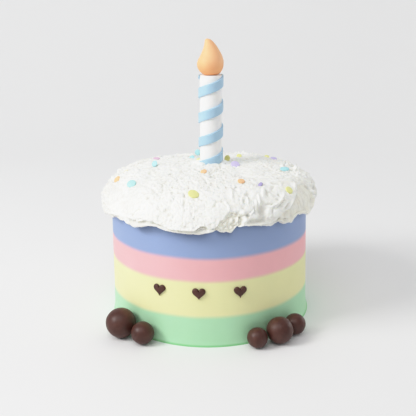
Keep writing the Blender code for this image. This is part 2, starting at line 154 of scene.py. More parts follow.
def frosting_surface():
    """Colour by height with soft edges, level scraper lines, faint cloudiness and painted shade just below
    the cream.
    """
    surface, nodes, links, shader = new_surface(
        "smooth_frosting", Roughness=0.5, Specular_IOR_Level=0.35, Subsurface_Weight=0.12,
        Subsurface_Radius=(0.004, 0.003, 0.002), Subsurface_Scale=1.0,
    )
    place = add_node(nodes, "ShaderNodeTexCoord")
    axes = add_node(nodes, "ShaderNodeSeparateXYZ")
    links.new(place.outputs["Object"], axes.inputs[0])
    # The green and yellow rings lie a touch higher on the right than the others
    slant = add_node(nodes, "ShaderNodeMapRange", From_Min=0.024, From_Max=0.060, To_Min=0.0102, To_Max=0.0)
    links.new(axes.outputs["Z"], slant.inputs["Value"])
    across = add_node(nodes, "ShaderNodeMath", operation="MULTIPLY")
    links.new(slant.outputs[0], across.inputs[0])
    links.new(axes.outputs["X"], across.inputs[1])
    wander = add_node(nodes, "ShaderNodeTexNoise", Scale=26.0, Detail=2.0)
    links.new(place.outputs["Object"], wander.inputs["Vector"])
    wander_depth = add_node(nodes, "ShaderNodeMath", operation="MULTIPLY_ADD")
    wander_depth.inputs[1].default_value = EDGE_WANDER
    wander_depth.inputs[2].default_value = -EDGE_WANDER / 2
    links.new(wander.outputs["Fac"], wander_depth.inputs[0])
    lowered = add_node(nodes, "ShaderNodeMath", operation="SUBTRACT")
    links.new(axes.outputs["Z"], lowered.inputs[0])
    links.new(across.outputs[0], lowered.inputs[1])
    level = add_node(nodes, "ShaderNodeMath", operation="ADD")
    links.new(lowered.outputs[0], level.inputs[0])
    links.new(wander_depth.outputs[0], level.inputs[1])
    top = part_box("band_blue")[1].z
    share = add_node(nodes, "ShaderNodeMath", operation="DIVIDE")
    share.inputs[1].default_value = top
    links.new(level.outputs[0], share.inputs[0])
    stops = []
    colours = list(SIDE_COLOURS.values())
    for index, name in enumerate(("band_green", "band_yellow", "band_pink")):
        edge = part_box(name)[1].z
        stops.append(((edge - EDGE_BLEND / 2) / top, colours[index]))
        stops.append(((edge + EDGE_BLEND / 2) / top, colours[index + 1]))
    ramp = blend_colours(nodes, links, share.outputs[0], stops)
    ramp.color_ramp.interpolation = "EASE"
    # The thin line at the foot, where the frosting is thick and the colour deep
    foot = add_node(
        nodes, "ShaderNodeMapRange", interpolation_type="SMOOTHSTEP",
        From_Min=0.0006, From_Max=0.0022, To_Min=0.85, To_Max=0.0,
    )
    links.new(axes.outputs["Z"], foot.inputs["Value"])
    with_foot = add_node(nodes, "ShaderNodeMix", data_type="RGBA")
    links.new(foot.outputs[0], with_foot.inputs["Factor"])
    links.new(ramp.outputs["Color"], with_foot.inputs[6])
    with_foot.inputs[7].default_value = (*FOOT_LINE_COLOUR, 1.0)
    # Faint clouds in the colour
    cloud = add_node(nodes, "ShaderNodeTexNoise", Scale=34.0, Detail=4.0, Roughness=0.6)
    links.new(place.outputs["Object"], cloud.inputs["Vector"])
    cloud_share = add_node(
        nodes, "ShaderNodeMapRange", From_Min=0.3, From_Max=0.7, To_Min=0.975, To_Max=1.02
    )
    links.new(cloud.outputs["Fac"], cloud_share.inputs["Value"])
    clouded = add_node(nodes, "ShaderNodeVectorMath", operation="SCALE")
    links.new(with_foot.outputs[2], clouded.inputs[0])
    links.new(cloud_share.outputs[0], clouded.inputs["Scale"])
    # Painted shade: the frosting is darker just below the edge of the cream
    under_cream_shade = add_node(nodes, "ShaderNodeAttribute", attribute_name="under_cream_shade")
    darker = add_node(nodes, "ShaderNodeMix", data_type="RGBA", blend_type="MULTIPLY")
    darker.inputs[7].default_value = UNDER_CREAM_PAINTED_SHADE
    links.new(under_cream_shade.outputs["Fac"], darker.inputs["Factor"])
    links.new(clouded.outputs[0], darker.inputs[6])
    links.new(darker.outputs[2], shader.inputs["Base Color"])
    # Level lines from the scraper, long round the cake and fine in height
    stretch = add_node(nodes, "ShaderNodeMapping")
    stretch.inputs["Scale"].default_value = (9.0, 9.0, 620.0)
    links.new(place.outputs["Object"], stretch.inputs["Vector"])
    lines = add_node(nodes, "ShaderNodeTexNoise", Scale=1.0, Detail=4.0, Roughness=0.62)
    links.new(stretch.outputs[0], lines.inputs["Vector"])
    grain = add_node(nodes, "ShaderNodeTexNoise", Scale=900.0, Detail=2.0)
    links.new(place.outputs["Object"], grain.inputs["Vector"])
    both = add_node(nodes, "ShaderNodeMath", operation="MULTIPLY_ADD")
    both.inputs[1].default_value = 0.25
    links.new(grain.outputs["Fac"], both.inputs[0])
    links.new(lines.outputs["Fac"], both.inputs[2])
    bump = add_node(nodes, "ShaderNodeBump", Strength=0.35, Distance=0.00025)
    links.new(both.outputs[0], bump.inputs["Height"])
    links.new(bump.outputs[0], shader.inputs["Normal"])
    gloss = add_node(nodes, "ShaderNodeMapRange", From_Min=0.3, From_Max=0.7, To_Min=0.44, To_Max=0.56)
    links.new(lines.outputs["Fac"], gloss.inputs["Value"])
    links.new(gloss.outputs[0], shader.inputs["Roughness"])
    return surface


def add_band(node, low, high, surface, slot_name):
    """A disc of the cake with its frosted side cut into rows, drawn to the side's outline."""
    bpy.ops.object.select_all(action="DESELECT")
    bpy.ops.mesh.primitive_cylinder_add(
        vertices=SIDE_SEGMENTS, radius=SIDE_RADIUS, depth=high - low, location=(0.0, 0.0, (low + high) / 2)
    )
    band = bpy.context.object
    bpy.ops.object.transform_apply(location=True)
    bpy.ops.object.mode_set(mode="EDIT")
    pick_edges(band, lambda edge: abs(edge.verts[0].co.z - edge.verts[1].co.z) > (high - low) / 2)
    bpy.ops.mesh.subdivide(number_cuts=int((high - low) / ROW_HEIGHT))
    bpy.ops.object.mode_set(mode="OBJECT")
    for vertex in band.data.vertices:
        x, y, z = vertex.co
        waver = WAVER_DEPTH * noise.noise(Vector((x, y, z * 0.6)) / WAVER_SIZE)
        turn = (azimuth_of(x, y) - FOOT_SQUEEZE_AZIMUTH) / 22.0
        squeeze = FOOT_SQUEEZE * math.exp(-turn * turn - z / 0.004)
        reach = (side_radius(z) + waver + squeeze) / math.hypot(x, y)
        vertex.co.x *= reach
        vertex.co.y *= reach
    bpy.ops.object.shade_smooth_by_angle(angle=math.radians(50))
    finish_piece(band, "side_" + node[5:], slot_name, surface, node)


frosting = frosting_surface()
floor_of_band = 0.0
for band_node, band_slot in zip(("band_green", "band_yellow", "band_pink", "band_blue"), SIDE_COLOURS):
    top_of_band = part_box(band_node)[1].z
    add_band(band_node, floor_of_band, top_of_band, frosting, band_slot)
    floor_of_band = top_of_band

# Cream cap
# Whipped cream heaped on the cake and worked with a palette knife: fine curdled wrinkles on the
# left, long sweeping strokes with raised lips on the right and round the back, and a torn,
# scalloped edge that hangs a little way down the side.
CREAM_RADIUS = 0.0880
WIDEST_HEIGHT = 0.0970
CROWN_HEIGHT = 0.0076
SHOULDER_HEIGHT = 0.0184
SHOULDER_POWER = 8.4
REAR_FALL = 0.0039
CREAM_EDGE = 0.0902
EDGE_RADIUS = 0.0825
CREAM_GRID = 300
EDGE_DENSER = 0.42
FRONT_DENSER = 0.26
PROFILE_POINTS = 4000
# How far out from the middle of the cake a degree is turned into a width
WORK_REACH = 0.085
# The candle stands a little right of the middle, in a low collar of cream that it pushed up
CANDLE_X = 0.0028
COLLAR_SHIFT = 0.0009
STICK_HOLE = 0.0092
COLLAR = 0.0026
# Height of the torn lower edge across the front: azimuth and millimetres
FRONT_EDGE = (
    (-76, 91), (-66, 90.5), (-57, 91), (-56, 92.5), (-54, 93.5), (-52, 93), (-50, 92), (-47.5, 92.5),
    (-46.5, 93.5), (-45, 93), (-44, 91.5), (-40.5, 89.5), (-39, 89.5), (-34, 91.5), (-32, 92.5),
    (-31, 93.5), (-30, 94), (-26, 93.5), (-20, 91.5), (-14, 90.5), (-12, 90), (-5, 89.5), (-3, 90),
    (-0.5, 91.5), (2.5, 94), (3.5, 93.5), (4.5, 91.5), (7, 91), (8, 91.5), (9.5, 90.5), (10.5, 90.5),
    (12, 93), (13, 95), (14, 95), (15, 96), (18, 95.5), (25, 94), (30.5, 92.5), (32, 93.5), (36.5, 94),
    (38.5, 91.5), (39, 91), (44, 90.5), (45.5, 91.5), (47, 94), (49, 95), (52.5, 94.5), (60, 91),
    (62, 89.5), (68, 89), (76, 90),
)
EDGE_OVERHANG = 0.0036
EDGE_LIFT = 0.0004
# How far down the frosting the painted shade below the cream's edge reaches
UNDER_CREAM_SHADE_REACH = 0.0036
EDGE_WAVES = ((7, 0.0016, 0.4), (13, 0.0011, 2.0), (22, 0.0009, 1.1))
# Broad swells: azimuth, distance, reach and height
SWELLS = (
    (138, 0.0553, 0.022, 0.0022),
    (180, 0.0442, 0.022, -0.0020),
    (-100, 0.0704, 0.014, -0.0014),
)
# The worked texture: depth, size and seed
ROLLS = (0.0011, 0.016, 0.0)
WRINKLES = ((0.00036, 0.0050, 0.0), (0.00042, 0.0021, 3.0), (0.00024, 0.0012, 7.0))
LOOSE_WRINKLES = (0.0012, 0.0038, 15.0)
LOOSE_CRUMBS = (0.0011, 0.0019, 17.0)
HOLLOW_WRINKLES = (0.0006, 0.0032, 11.0)
HOLLOW_CRUMBS = (0.0007, 0.0017, 9.0)
PIT_DEPTH = 0.0050
PIT_SIZE = 0.0031
BORDER_WAVER = 0.0009
LEFT_HANG = 0.0018
# The upright lines that the knife leaves in the flat cut: depth, width, length and a shift
BRUSH_LINES = ((0.00060, 0.0012, 0.022, 0.0), (0.00045, 0.0035, 0.018, 4.0))
# One fixed draw for the bends of the wrinkles, so that each run makes the same cream
WRINKLE_DRAW = 4
noise.seed_set(WRINKLE_DRAW)
# How dark the painted shade in the hollows gets for a millimetre of depth, of crumb and of brush line
LEVEL_SHADE = 0.25
CRUMB_SHADE = 0.45
BRUSH_SHADE = 0.5


def smooth_step(low, high, value):
    share = np.clip((value - low) / (high - low), 0.0, 1.0)
    return share * share * (3.0 - 2.0 * share)


def cream_outline():
    """Distance along the cream from its middle, with radius and height there, in metres."""
    turn = np.linspace(0.0, math.pi / 2, PROFILE_POINTS)
    radius = CREAM_RADIUS * np.sin(turn)
    share = radius / CREAM_RADIUS
    shoulder = np.sqrt(np.clip(1.0 - share ** SHOULDER_POWER, 0.0, 1.0))
    height = WIDEST_HEIGHT + CROWN_HEIGHT * (1.0 - share ** 2) + SHOULDER_HEIGHT * shoulder
    radius = np.append(radius, EDGE_RADIUS + (CREAM_RADIUS - EDGE_RADIUS) * np.cos(turn[1:]))
    height = np.append(height, WIDEST_HEIGHT - (WIDEST_HEIGHT - CREAM_EDGE) * np.sin(turn[1:]))
    radius = np.append(radius, side_radius(CREAM_EDGE) + 0.0003)
    height = np.append(height, CREAM_EDGE + 0.0012)
    length = np.append(0.0, np.cumsum(np.hypot(np.diff(radius), np.diff(height))))
    return length, radius, height


CREAM_LENGTH, CREAM_RADII, CREAM_HEIGHTS = cream_outline()


def cream_place(azimuth, length):
    """Points on the smooth cream at azimuths in degrees and distances from its middle."""
    turn = np.radians(azimuth)
    radius = np.interp(length, CREAM_LENGTH, CREAM_RADII)
    height = np.interp(length, CREAM_LENGTH, CREAM_HEIGHTS)
    return np.stack([radius * np.sin(turn), -radius * np.cos(turn), height], axis=-1)


def cream_normal(azimuth, length):
    """Which way the smooth cream faces there."""
    step = 0.0002
    before = np.clip(length - step, 0.0, CREAM_LENGTH[-1])
    after = np.clip(length + step, 0.0, CREAM_LENGTH[-1])
    run = np.interp(after, CREAM_LENGTH, CREAM_RADII) - np.interp(before, CREAM_LENGTH, CREAM_RADII)
    rise = np.interp(after, CREAM_LENGTH, CREAM_HEIGHTS) - np.interp(before, CREAM_LENGTH, CREAM_HEIGHTS)
    size = np.maximum(np.hypot(run, rise), 1e-9)
    turn = np.radians(azimuth)
    return np.stack([-rise / size * np.sin(turn), rise / size * np.cos(turn), run / size], axis=-1)


def edge_rise(azimuth):
    """How far the torn lower edge is above its usual height."""
    places, heights = zip(*FRONT_EDGE)
    front = np.interp(azimuth, places, heights) / 1000.0 - CREAM_EDGE + EDGE_LIFT
    turn = np.radians(azimuth)
    back = sum(depth * np.sin(count * turn + phase) for count, depth, phase in EDGE_WAVES)
    share = smooth_step(64.0, 76.0, np.abs(azimuth))
    return front * (1.0 - share) + back * share


def noise_at(points, size, seed=0.0):
    """Smooth noise at many points, about -1 to 1."""
    shift = Vector((seed, seed * 0.7, -seed))
    return np.array([noise.noise(Vector(point) / size + shift) for point in points])


def curdle_at(points, size, seed):
    """Fine crumpled wrinkles: sharp little crests between round hollows, about -1 to 1."""
    shift = Vector((seed, -seed, seed * 0.3))
    heights = []
    for point in points:
        place = Vector(point) / size + shift
        bent = place + noise.noise_vector(place * 0.6) * 0.9
        heights.append(1.0 - 2.6 * abs(noise.noise(bent)) + 0.5 * noise.noise(bent * 2.3))
    return np.array(heights) - 0.45


def sweep(stops, steps=26):
    """A smooth line through (azimuth, distance in mm) stops, on the cream."""
    stops = np.array(stops, dtype=float)
    share = np.linspace(0.0, 1.0, len(stops))
    order = min(len(stops) - 1, 3)
    fine = np.linspace(0.0, 1.0, steps)
    azimuth = np.polyval(np.polyfit(share, stops[:, 0], order), fine)
    length = np.polyval(np.polyfit(share, stops[:, 1], order), fine) / 1000.0
    return cream_place(azimuth, length), cream_normal(azimuth, length)


def near_line(points, stops, reach):
    """Points within reach of a line: their numbers, distance, side and place along it, its length."""
    path, faces = sweep(stops)
    low = path.min(axis=0) - reach
    high = path.max(axis=0) + reach
    chosen = np.where(np.all((points > low) & (points < high), axis=1))[0]
    here = points[chosen]
    far = np.full(len(chosen), 1.0)
    side = np.zeros(len(chosen))
    along = np.zeros(len(chosen))
    run = 0.0
    for start, end, face in zip(path[:-1], path[1:], faces[:-1]):
        step = end - start
        size = float(np.linalg.norm(step))
        share = np.clip((here - start) @ step / size ** 2, 0.0, 1.0)
        away = here - start - share[:, None] * step
        distance = np.linalg.norm(away, axis=1)
        closer = distance < far
        far[closer] = distance[closer]
        side[closer] = (away @ np.cross(face, step / size))[closer]
        along[closer] = (run + share * size)[closer]
        run += size
    return chosen, far, side, along, run


def knife_stroke(relief, points, stops, width, depth, near_lip, far_lip, seed):
    """One pull of the palette knife: it flattens what was there, presses a shallow trough and
    pushes up a lip on each side, and its grain runs along the pull."""
    chosen, far, side, along, run = near_line(points, stops, width)
    lateral = np.sign(side) * far / (width / 2)
    part = along / run
    body = smooth_step(0.0, 0.15, part) * smooth_step(1.0, 0.8, part)
    swath = smooth_step(1.06, 0.88, np.abs(lateral)) * body
    trough = -depth * np.clip(1.0 - lateral ** 2, 0.0, 1.0)
    lips = near_lip * np.exp(-(((lateral + 1.0) / 0.17) ** 2))
    lips += far_lip * np.exp(-(((lateral - 1.0) / 0.17) ** 2))
    grain = [
        noise.noise(Vector((a / 0.0011, b / 0.014, seed))) * 0.00016
        + noise.noise(Vector((a / 0.0030, b / 0.020, seed + 5.0))) * 0.00028
        for a, b in zip(side, along)
    ]
    relief[chosen] = relief[chosen] * (1.0 - 0.65 * swath) + (trough + np.array(grain)) * swath
    relief[chosen] += lips * body * smooth_step(1.6, 1.2, np.abs(lateral))


def fold(relief, points, stops, half, height):
    """A thin ridge along a line of stops, or a crease where the height is below zero."""
    chosen, far, side, along, run = near_line(points, stops, half * 3.0)
    part = along / run
    ends = 0.25 + 0.75 * smooth_step(0.0, 0.25, part) * smooth_step(1.0, 0.75, part)
    relief[chosen] += height * ends * np.exp(-((far / half) ** 2))


def ledge(relief, azimuth, length, stops, depth):
    """A thin layer of cream ends along a line of stops; what lies below it is set back."""
    places, distances = zip(*stops)
    past = length - np.interp(azimuth, places, distances) / 1000.0
    ends = smooth_step(places[0] - 1.0, places[0] + 3.0, azimuth)
    ends *= smooth_step(places[-1] + 1.0, places[-1] - 3.0, azimuth)
    relief -= depth * ends * smooth_step(-0.0001, 0.0007, past)
    relief += 0.4 * depth * ends * np.exp(-(((past + 0.0008) / 0.0007) ** 2))


def inside_outline(azimuth, length, outline):
    """How far within an outline of (azimuth, distance in mm) corners each point is, in metres."""
    x, y = np.radians(azimuth) * WORK_REACH, length
    corners = [(math.radians(a) * WORK_REACH, s / 1000.0) for a, s in outline]
    inside = np.zeros(len(x), dtype=bool)
    far = np.full(len(x), 1.0)
    for (x0, y0), (x1, y1) in zip(corners, corners[1:] + corners[:1]):
        slope = (x1 - x0) / (y1 - y0) if y1 != y0 else 0.0
        inside ^= ((y0 > y) != (y1 > y)) & (x < x0 + slope * (y - y0))
        run, rise = x1 - x0, y1 - y0
        share = np.clip(((x - x0) * run + (y - y0) * rise) / (run * run + rise * rise), 0.0, 1.0)
        far = np.minimum(far, np.hypot(x - x0 - share * run, y - y0 - share * rise))
    return np.where(inside, far, -far)


# Long shallow pulls of the knife at the front right: stops, width, depth and the two lips
FRONT_STROKES = (
    (((62, 72), (70, 80), (76, 90)), 0.012, 0.0008, 0.0006, 0.0008),
    (((14, 52), (26, 58), (36, 66)), 0.009, 0.0005, 0.0004, 0.0005),
    (((30, 48), (42, 56), (52, 68)), 0.010, 0.0006, 0.0005, 0.0006),
    (((44, 66), (52, 72), (58, 78)), 0.008, 0.0006, 0.0005, 0.0006),
)
# Ridges and creases at the front: stops, half width and height
FRONT_FOLDS = (
    # The curling ridges left of the flat cut
    (((29, 88), (32, 88.5), (36, 88), (40, 85), (42.5, 82.5), (45, 79)), 0.0007, 0.0015),
    (((29, 86), (32, 87), (34, 87)), 0.0005, -0.0011),
    (((39, 82), (41, 80)), 0.0007, -0.0011),
    (((33, 90), (36, 90), (39, 87.5), (43, 86)), 0.0008, -0.0012),
    (((37, 93), (39, 91), (41, 89.5), (43, 88)), 0.0006, 0.0013),
    (((39, 92), (41, 91), (43, 89)), 0.0005, -0.0009),
    (((39, 94), (42, 93), (44, 91), (47.5, 88)), 0.0007, 0.0017),
    (((52.5, 82.5), (56, 79.5), (61, 76)), 0.0009, 0.0010),
    (((32.5, 89.5), (32, 92), (32, 95)), 0.0006, -0.0010),
    # The little upright ridge, the dark pit beside it and the slanting creases
    (((14, 91), (13.5, 94), (13.5, 97), (13.5, 100)), 0.0004, 0.0013),
    (((15.5, 93.5), (17, 92), (19, 91.5)), 0.0006, -0.0012),
    (((14.5, 94.5), (15, 93), (16.5, 92)), 0.0005, -0.0013),
    (((19, 91), (21, 89.5), (22, 88)), 0.0006, -0.0006),
    (((20, 93), (21, 91.5), (22, 90)), 0.0006, -0.0006),
    (((19.5, 92), (21, 90.5), (22, 89)), 0.0005, 0.0005),
    (((23, 87), (22.5, 89.5), (22, 92)), 0.0005, -0.0013),
    # The shaded band over the low right lip, and the lip
    (((17.5, 96), (20.5, 97), (23, 97.5), (26, 97.5), (28.5, 98)), 0.0019, -0.0024),
    (((14, 99.5), (19, 100), (25, 101), (28.5, 101.5), (30, 99.5)), 0.0006, 0.0007),
    # Upright and slanting wrinkles above
    (((19, 77), (17, 80), (17.5, 84)), 0.0006, 0.0011),
    (((18.5, 79.5), (18, 82.5)), 0.0005, -0.0010),
    (((21, 77), (20.5, 80), (20, 84)), 0.0005, 0.0010),
    (((28, 77), (26.5, 82), (26, 87)), 0.0007, 0.0013),
    (((25, 81), (24, 86)), 0.0006, 0.0010),
    (((34.5, 70.5), (32, 75), (29.5, 80)), 0.0011, 0.0012),
    (((36, 71.5), (34.5, 75.5), (33, 80)), 0.0012, -0.0011),
    (((14, 69), (13, 73.5), (12, 78)), 0.0007, 0.0010),
    (((38, 76), (40.5, 73), (44, 71)), 0.0008, -0.0010),
    (((46, 75), (49, 72), (53, 70)), 0.0008, 0.0008),
    (((8, 80), (9.5, 84), (10, 88)), 0.0007, 0.0008),
    # The crevice at the far side of the flat cut
    (((68.5, 84), (70, 88), (70, 92), (71.5, 96)), 0.0007, -0.0020),
    # Creases between the lapped layers at the left
    (((-24, 100.5), (-20, 102.5), (-15, 103), (-8, 103)), 0.0006, -0.0016),
    (((-6.5, 102), (-4, 99.5), (-2, 99.5), (0, 102)), 0.0006, -0.0012),
    (((-40, 97), (-37, 91.5), (-34, 88.5)), 0.0005, -0.0008),
    (((-37, 99.5), (-35, 97.5), (-33, 97.5), (-30.5, 98)), 0.0006, -0.0010),
    (((-58, 104), (-53, 102), (-49, 101)), 0.0006, -0.0010),
    # Faint slanting and upright streaks above
    (((-54.5, 71), (-43, 68), (-32, 73), (-26.5, 80.5)), 0.0008, -0.0007),
    (((-44, 52.5), (-30.5, 66.5), (-27, 76.5), (-26.5, 84)), 0.0009, -0.0006),
    (((-26.5, 84), (-24.5, 88), (-22, 90.5)), 0.0008, -0.0006),
    (((-32, 60), (-23.5, 68), (-19, 73.5)), 0.0008, -0.0007),
    (((-19, 73.5), (-19.5, 83), (-20, 88)), 0.0008, -0.0006),
    (((-12, 76), (-12.5, 84), (-10, 89)), 0.0008, -0.0006),
    (((-14.5, 50), (-10.5, 56)), 0.0009, -0.0012),
    (((-4, 43), (-1, 53.5)), 0.0009, -0.0010),
)
# Dimples, or bumps where the depth is below zero: azimuth, distance in mm, reach, depth, texture kept
FRONT_DENTS = (
    (27, 90.5, 0.0044, 0.0034, 0.1),
    (15.5, 94.5, 0.0018, 0.0024, 0.6),
    (30, 91.5, 0.0020, -0.0004, 0.3),
    (34.5, 93.5, 0.0026, -0.0010, 0.4),
    (18.5, 92.5, 0.0013, 0.0026, 0.5),
    (16.5, 90, 0.0017, -0.0011, 0.5),
    (17.5, 95.5, 0.0014, -0.0014, 0.5),
    # Lumps lying in the broken hollow
    (10, 95, 0.0016, -0.0011, 0.9),
    (7.5, 97.5, 0.0010, -0.0008, 0.9),
    (5.5, 100.5, 0.0010, -0.0012, 0.9),
    (8, 102, 0.0010, -0.0012, 0.9),
    (10.5, 100.5, 0.0012, -0.0013, 0.9),
    (11.5, 96.5, 0.0009, 0.0007, 0.9),
    (17, 68, 0.0018, 0.0011, 0.8),
    (22.5, 75, 0.0021, 0.0016, 0.6),
    (-8, 99.5, 0.0016, -0.0008, 0.8),
)
# Thin layers of cream left lapped over each other near the torn edge: stops and how far set back
LEDGES = (
    (((-66, 101), (-60.5, 103), (-55, 101), (-50, 99.5), (-46, 101)), 0.0016),
    (((-44, 99.5), (-41, 99), (-37, 100), (-33, 98), (-29.5, 97.5)), 0.0017),
    (
        (
            (-30, 98), (-26, 98.5), (-23.5, 99.5), (-21, 101), (-18.5, 102), (-16, 102), (-14, 102),
            (-10, 102), (-7, 102), (-5, 100), (-4, 98.5), (-2.5, 98.5), (-1, 101), (0.5, 103),
        ),
        0.0019,
    ),
    (((31, 99.5), (33, 101.5), (36, 102.5), (40, 101), (44, 102.5)), 0.0010),
)
# The flat cut of the knife at the right, and the broken hollow right of the middle
CUT_OUTLINE = (
    (62, 77.5), (58.5, 80), (55.5, 82.5), (51, 86.5), (48, 89), (45, 90.5), (42.5, 92.5), (40, 93.5),
    (37.5, 95.5), (35, 97), (32.5, 100), (32, 104), (45, 108), (60, 109.5), (94, 109.5), (92, 103),
    (84, 97.5), (76, 96), (69, 95.5), (70, 91.5), (70, 87), (70, 83.5), (66.5, 79.5),
)
CUT_DEPTH = 0.0022
BROKEN_OUTLINE = (
    (0.5, 101.5), (2.5, 100), (3.5, 98.5), (5, 95), (7, 93), (8, 91), (9, 90), (11, 89), (13, 89),
    (15, 90), (16, 91), (16, 93), (16, 96), (15.5, 99), (15, 103), (14, 110), (3.5, 110), (2, 105),
)
BROKEN_DEPTH = 0.0022
BACK_STROKES = 26
BACK_FOLDS = 64


def back_work():
    """More of the same work round the back and over the rear of the top."""
    draw = random.Random(5)
    for index in range(BACK_STROKES):
        start = 84 + (index % 13 + draw.uniform(-0.4, 0.4)) * 186 / 13
        low = draw.uniform(88, 99) if index < 13 else draw.uniform(56, 82)
        span = draw.uniform(9, 20) * draw.choice((-1, 1))
        climb = draw.uniform(4, 18)
        stops = ((start, low), (start + span * 0.45, low - climb * 0.25), (start + span, low - climb))
        lips = draw.uniform(0.0005, 0.0013), draw.uniform(0.0005, 0.0013)
        width, depth = draw.uniform(0.008, 0.013), draw.uniform(0.0007, 0.0018)
        yield knife_stroke, (stops, width, depth, *lips, index * 3.1)
    for index in range(BACK_FOLDS):
        start = 72 + (index % 32 + draw.uniform(-0.5, 0.5)) * 216 / 32
        low = draw.uniform(86, 102) if index < 32 else draw.uniform(52, 86)
        span = draw.uniform(2, 10) * draw.choice((-1, 1))
        climb = draw.uniform(-3, 10)
        stops = ((start, low), (start + span * 0.5, low - climb * 0.35), (start + span, low - climb))
        half, height = draw.uniform(0.0008, 0.0015), draw.choice((0.0012, 0.0016, -0.0014, -0.0020))
        yield fold, (stops, half, height)


def left_side(azimuth):
    """One at the left end of the cake, where the cream hangs down steeper, and nothing elsewhere."""
    return smooth_step(50.0, 70.0, -azimuth) * smooth_step(140.0, 115.0, -azimuth)


def cream_relief(points, azimuth, length):
    """Height of the worked cream above the smooth form, in metres."""
    depth, size, seed = ROLLS
    relief = depth * noise_at(points, size, seed)
    pits = np.clip(noise_at(points, PIT_SIZE, 21.0) - 0.38, 0.0, 0.3)
    pits *= 1.0 - 0.6 * smooth_step(0.074, 0.088, length)
    crumb = sum(depth * curdle_at(points, size, seed) for depth, size, seed in WRINKLES) - PIT_DEPTH * pits
    # Softer crumbs where the knife has gone over the right of the front
    worked = smooth_step(-16.0, 6.0, azimuth) * smooth_step(75.0, 55.0, azimuth)
    crumb *= 1.0 - 0.45 * worked * smooth_step(0.060, 0.074, length)
    crumb *= 1.0 + 0.3 * smooth_step(0.074, 0.064, length)
    relief += crumb
    # Loose crumbs round the sides and the rear of the top, where the knife only touched the cream
    loose = smooth_step(50.0, 80.0, np.abs(azimuth)) * smooth_step(0.040, 0.070, length)
    depth, size, seed = LOOSE_WRINKLES
    relief += loose * depth * curdle_at(points, size, seed)
    depth, size, seed = LOOSE_CRUMBS
    relief += loose * depth * noise_at(points, size, seed)
    relief -= LEFT_HANG * left_side(azimuth) * smooth_step(0.070, 0.085, length)
    for place, distance, reach, height in SWELLS:
        middle = cream_place(place, distance)
        relief += height * np.exp(-np.sum((points - middle) ** 2, axis=1) / reach ** 2)
    for tool, values in back_work():
        tool(relief, points, *values)
    for stroke in FRONT_STROKES:
        knife_stroke(relief, points, *stroke, 1.7)
    # The flat cut: fine upright lines and a sharp border
    waver = BORDER_WAVER * noise_at(points, 0.0024, 25.0)
    cut = smooth_step(-0.0002, 0.0011, inside_outline(azimuth, length, CUT_OUTLINE) + waver * 0.6)
    across = np.radians(azimuth) * WORK_REACH
    brushed = np.zeros(len(points))
    for depth, width, run, shift in BRUSH_LINES:
        lines = np.stack([across / width, length / run, np.full(len(points), shift)], axis=-1)
        brushed += depth * noise_at(lines, 1.0)
    relief = relief * (1.0 - 0.75 * cut) + (brushed - CUT_DEPTH) * cut
    # The broken hollow: coarse crumbs under a sharp overhanging border
    broken = smooth_step(-0.0003, 0.0009, inside_outline(azimuth, length, BROKEN_OUTLINE) + waver)
    depth, size, seed = HOLLOW_WRINKLES
    crumbs = depth * curdle_at(points, size, seed)
    depth, size, seed = HOLLOW_CRUMBS
    crumbs += depth * noise_at(points, size, seed)
    relief += broken * (crumbs - BROKEN_DEPTH)
    for azimuth_place, distance, reach, depth, keep in FRONT_DENTS:
        middle = cream_place(azimuth_place, distance / 1000.0)
        near = np.exp(-np.sum((points - middle) ** 2, axis=1) / reach ** 2)
        relief = relief * (1.0 - (1.0 - keep) * np.clip(near * 1.5, 0.0, 1.0)) - depth * near
    for stops, half, height in FRONT_FOLDS:
        fold(relief, points, stops, half, height)
    for stops, depth in LEDGES:
        ledge(relief, azimuth, length, stops, depth)
    # Painted shade: the deeper the cream lies, and the deeper its crumbs and brush lines, the darker its
    # colour
    level = relief + CUT_DEPTH * cut + BROKEN_DEPTH * broken
    shade = 0.5 - 1000.0 * (LEVEL_SHADE * level + CRUMB_SHADE * crumb + BRUSH_SHADE * brushed * cut)
    return relief, np.clip(shade, 0.0, 1.0), np.maximum(cut, broken)


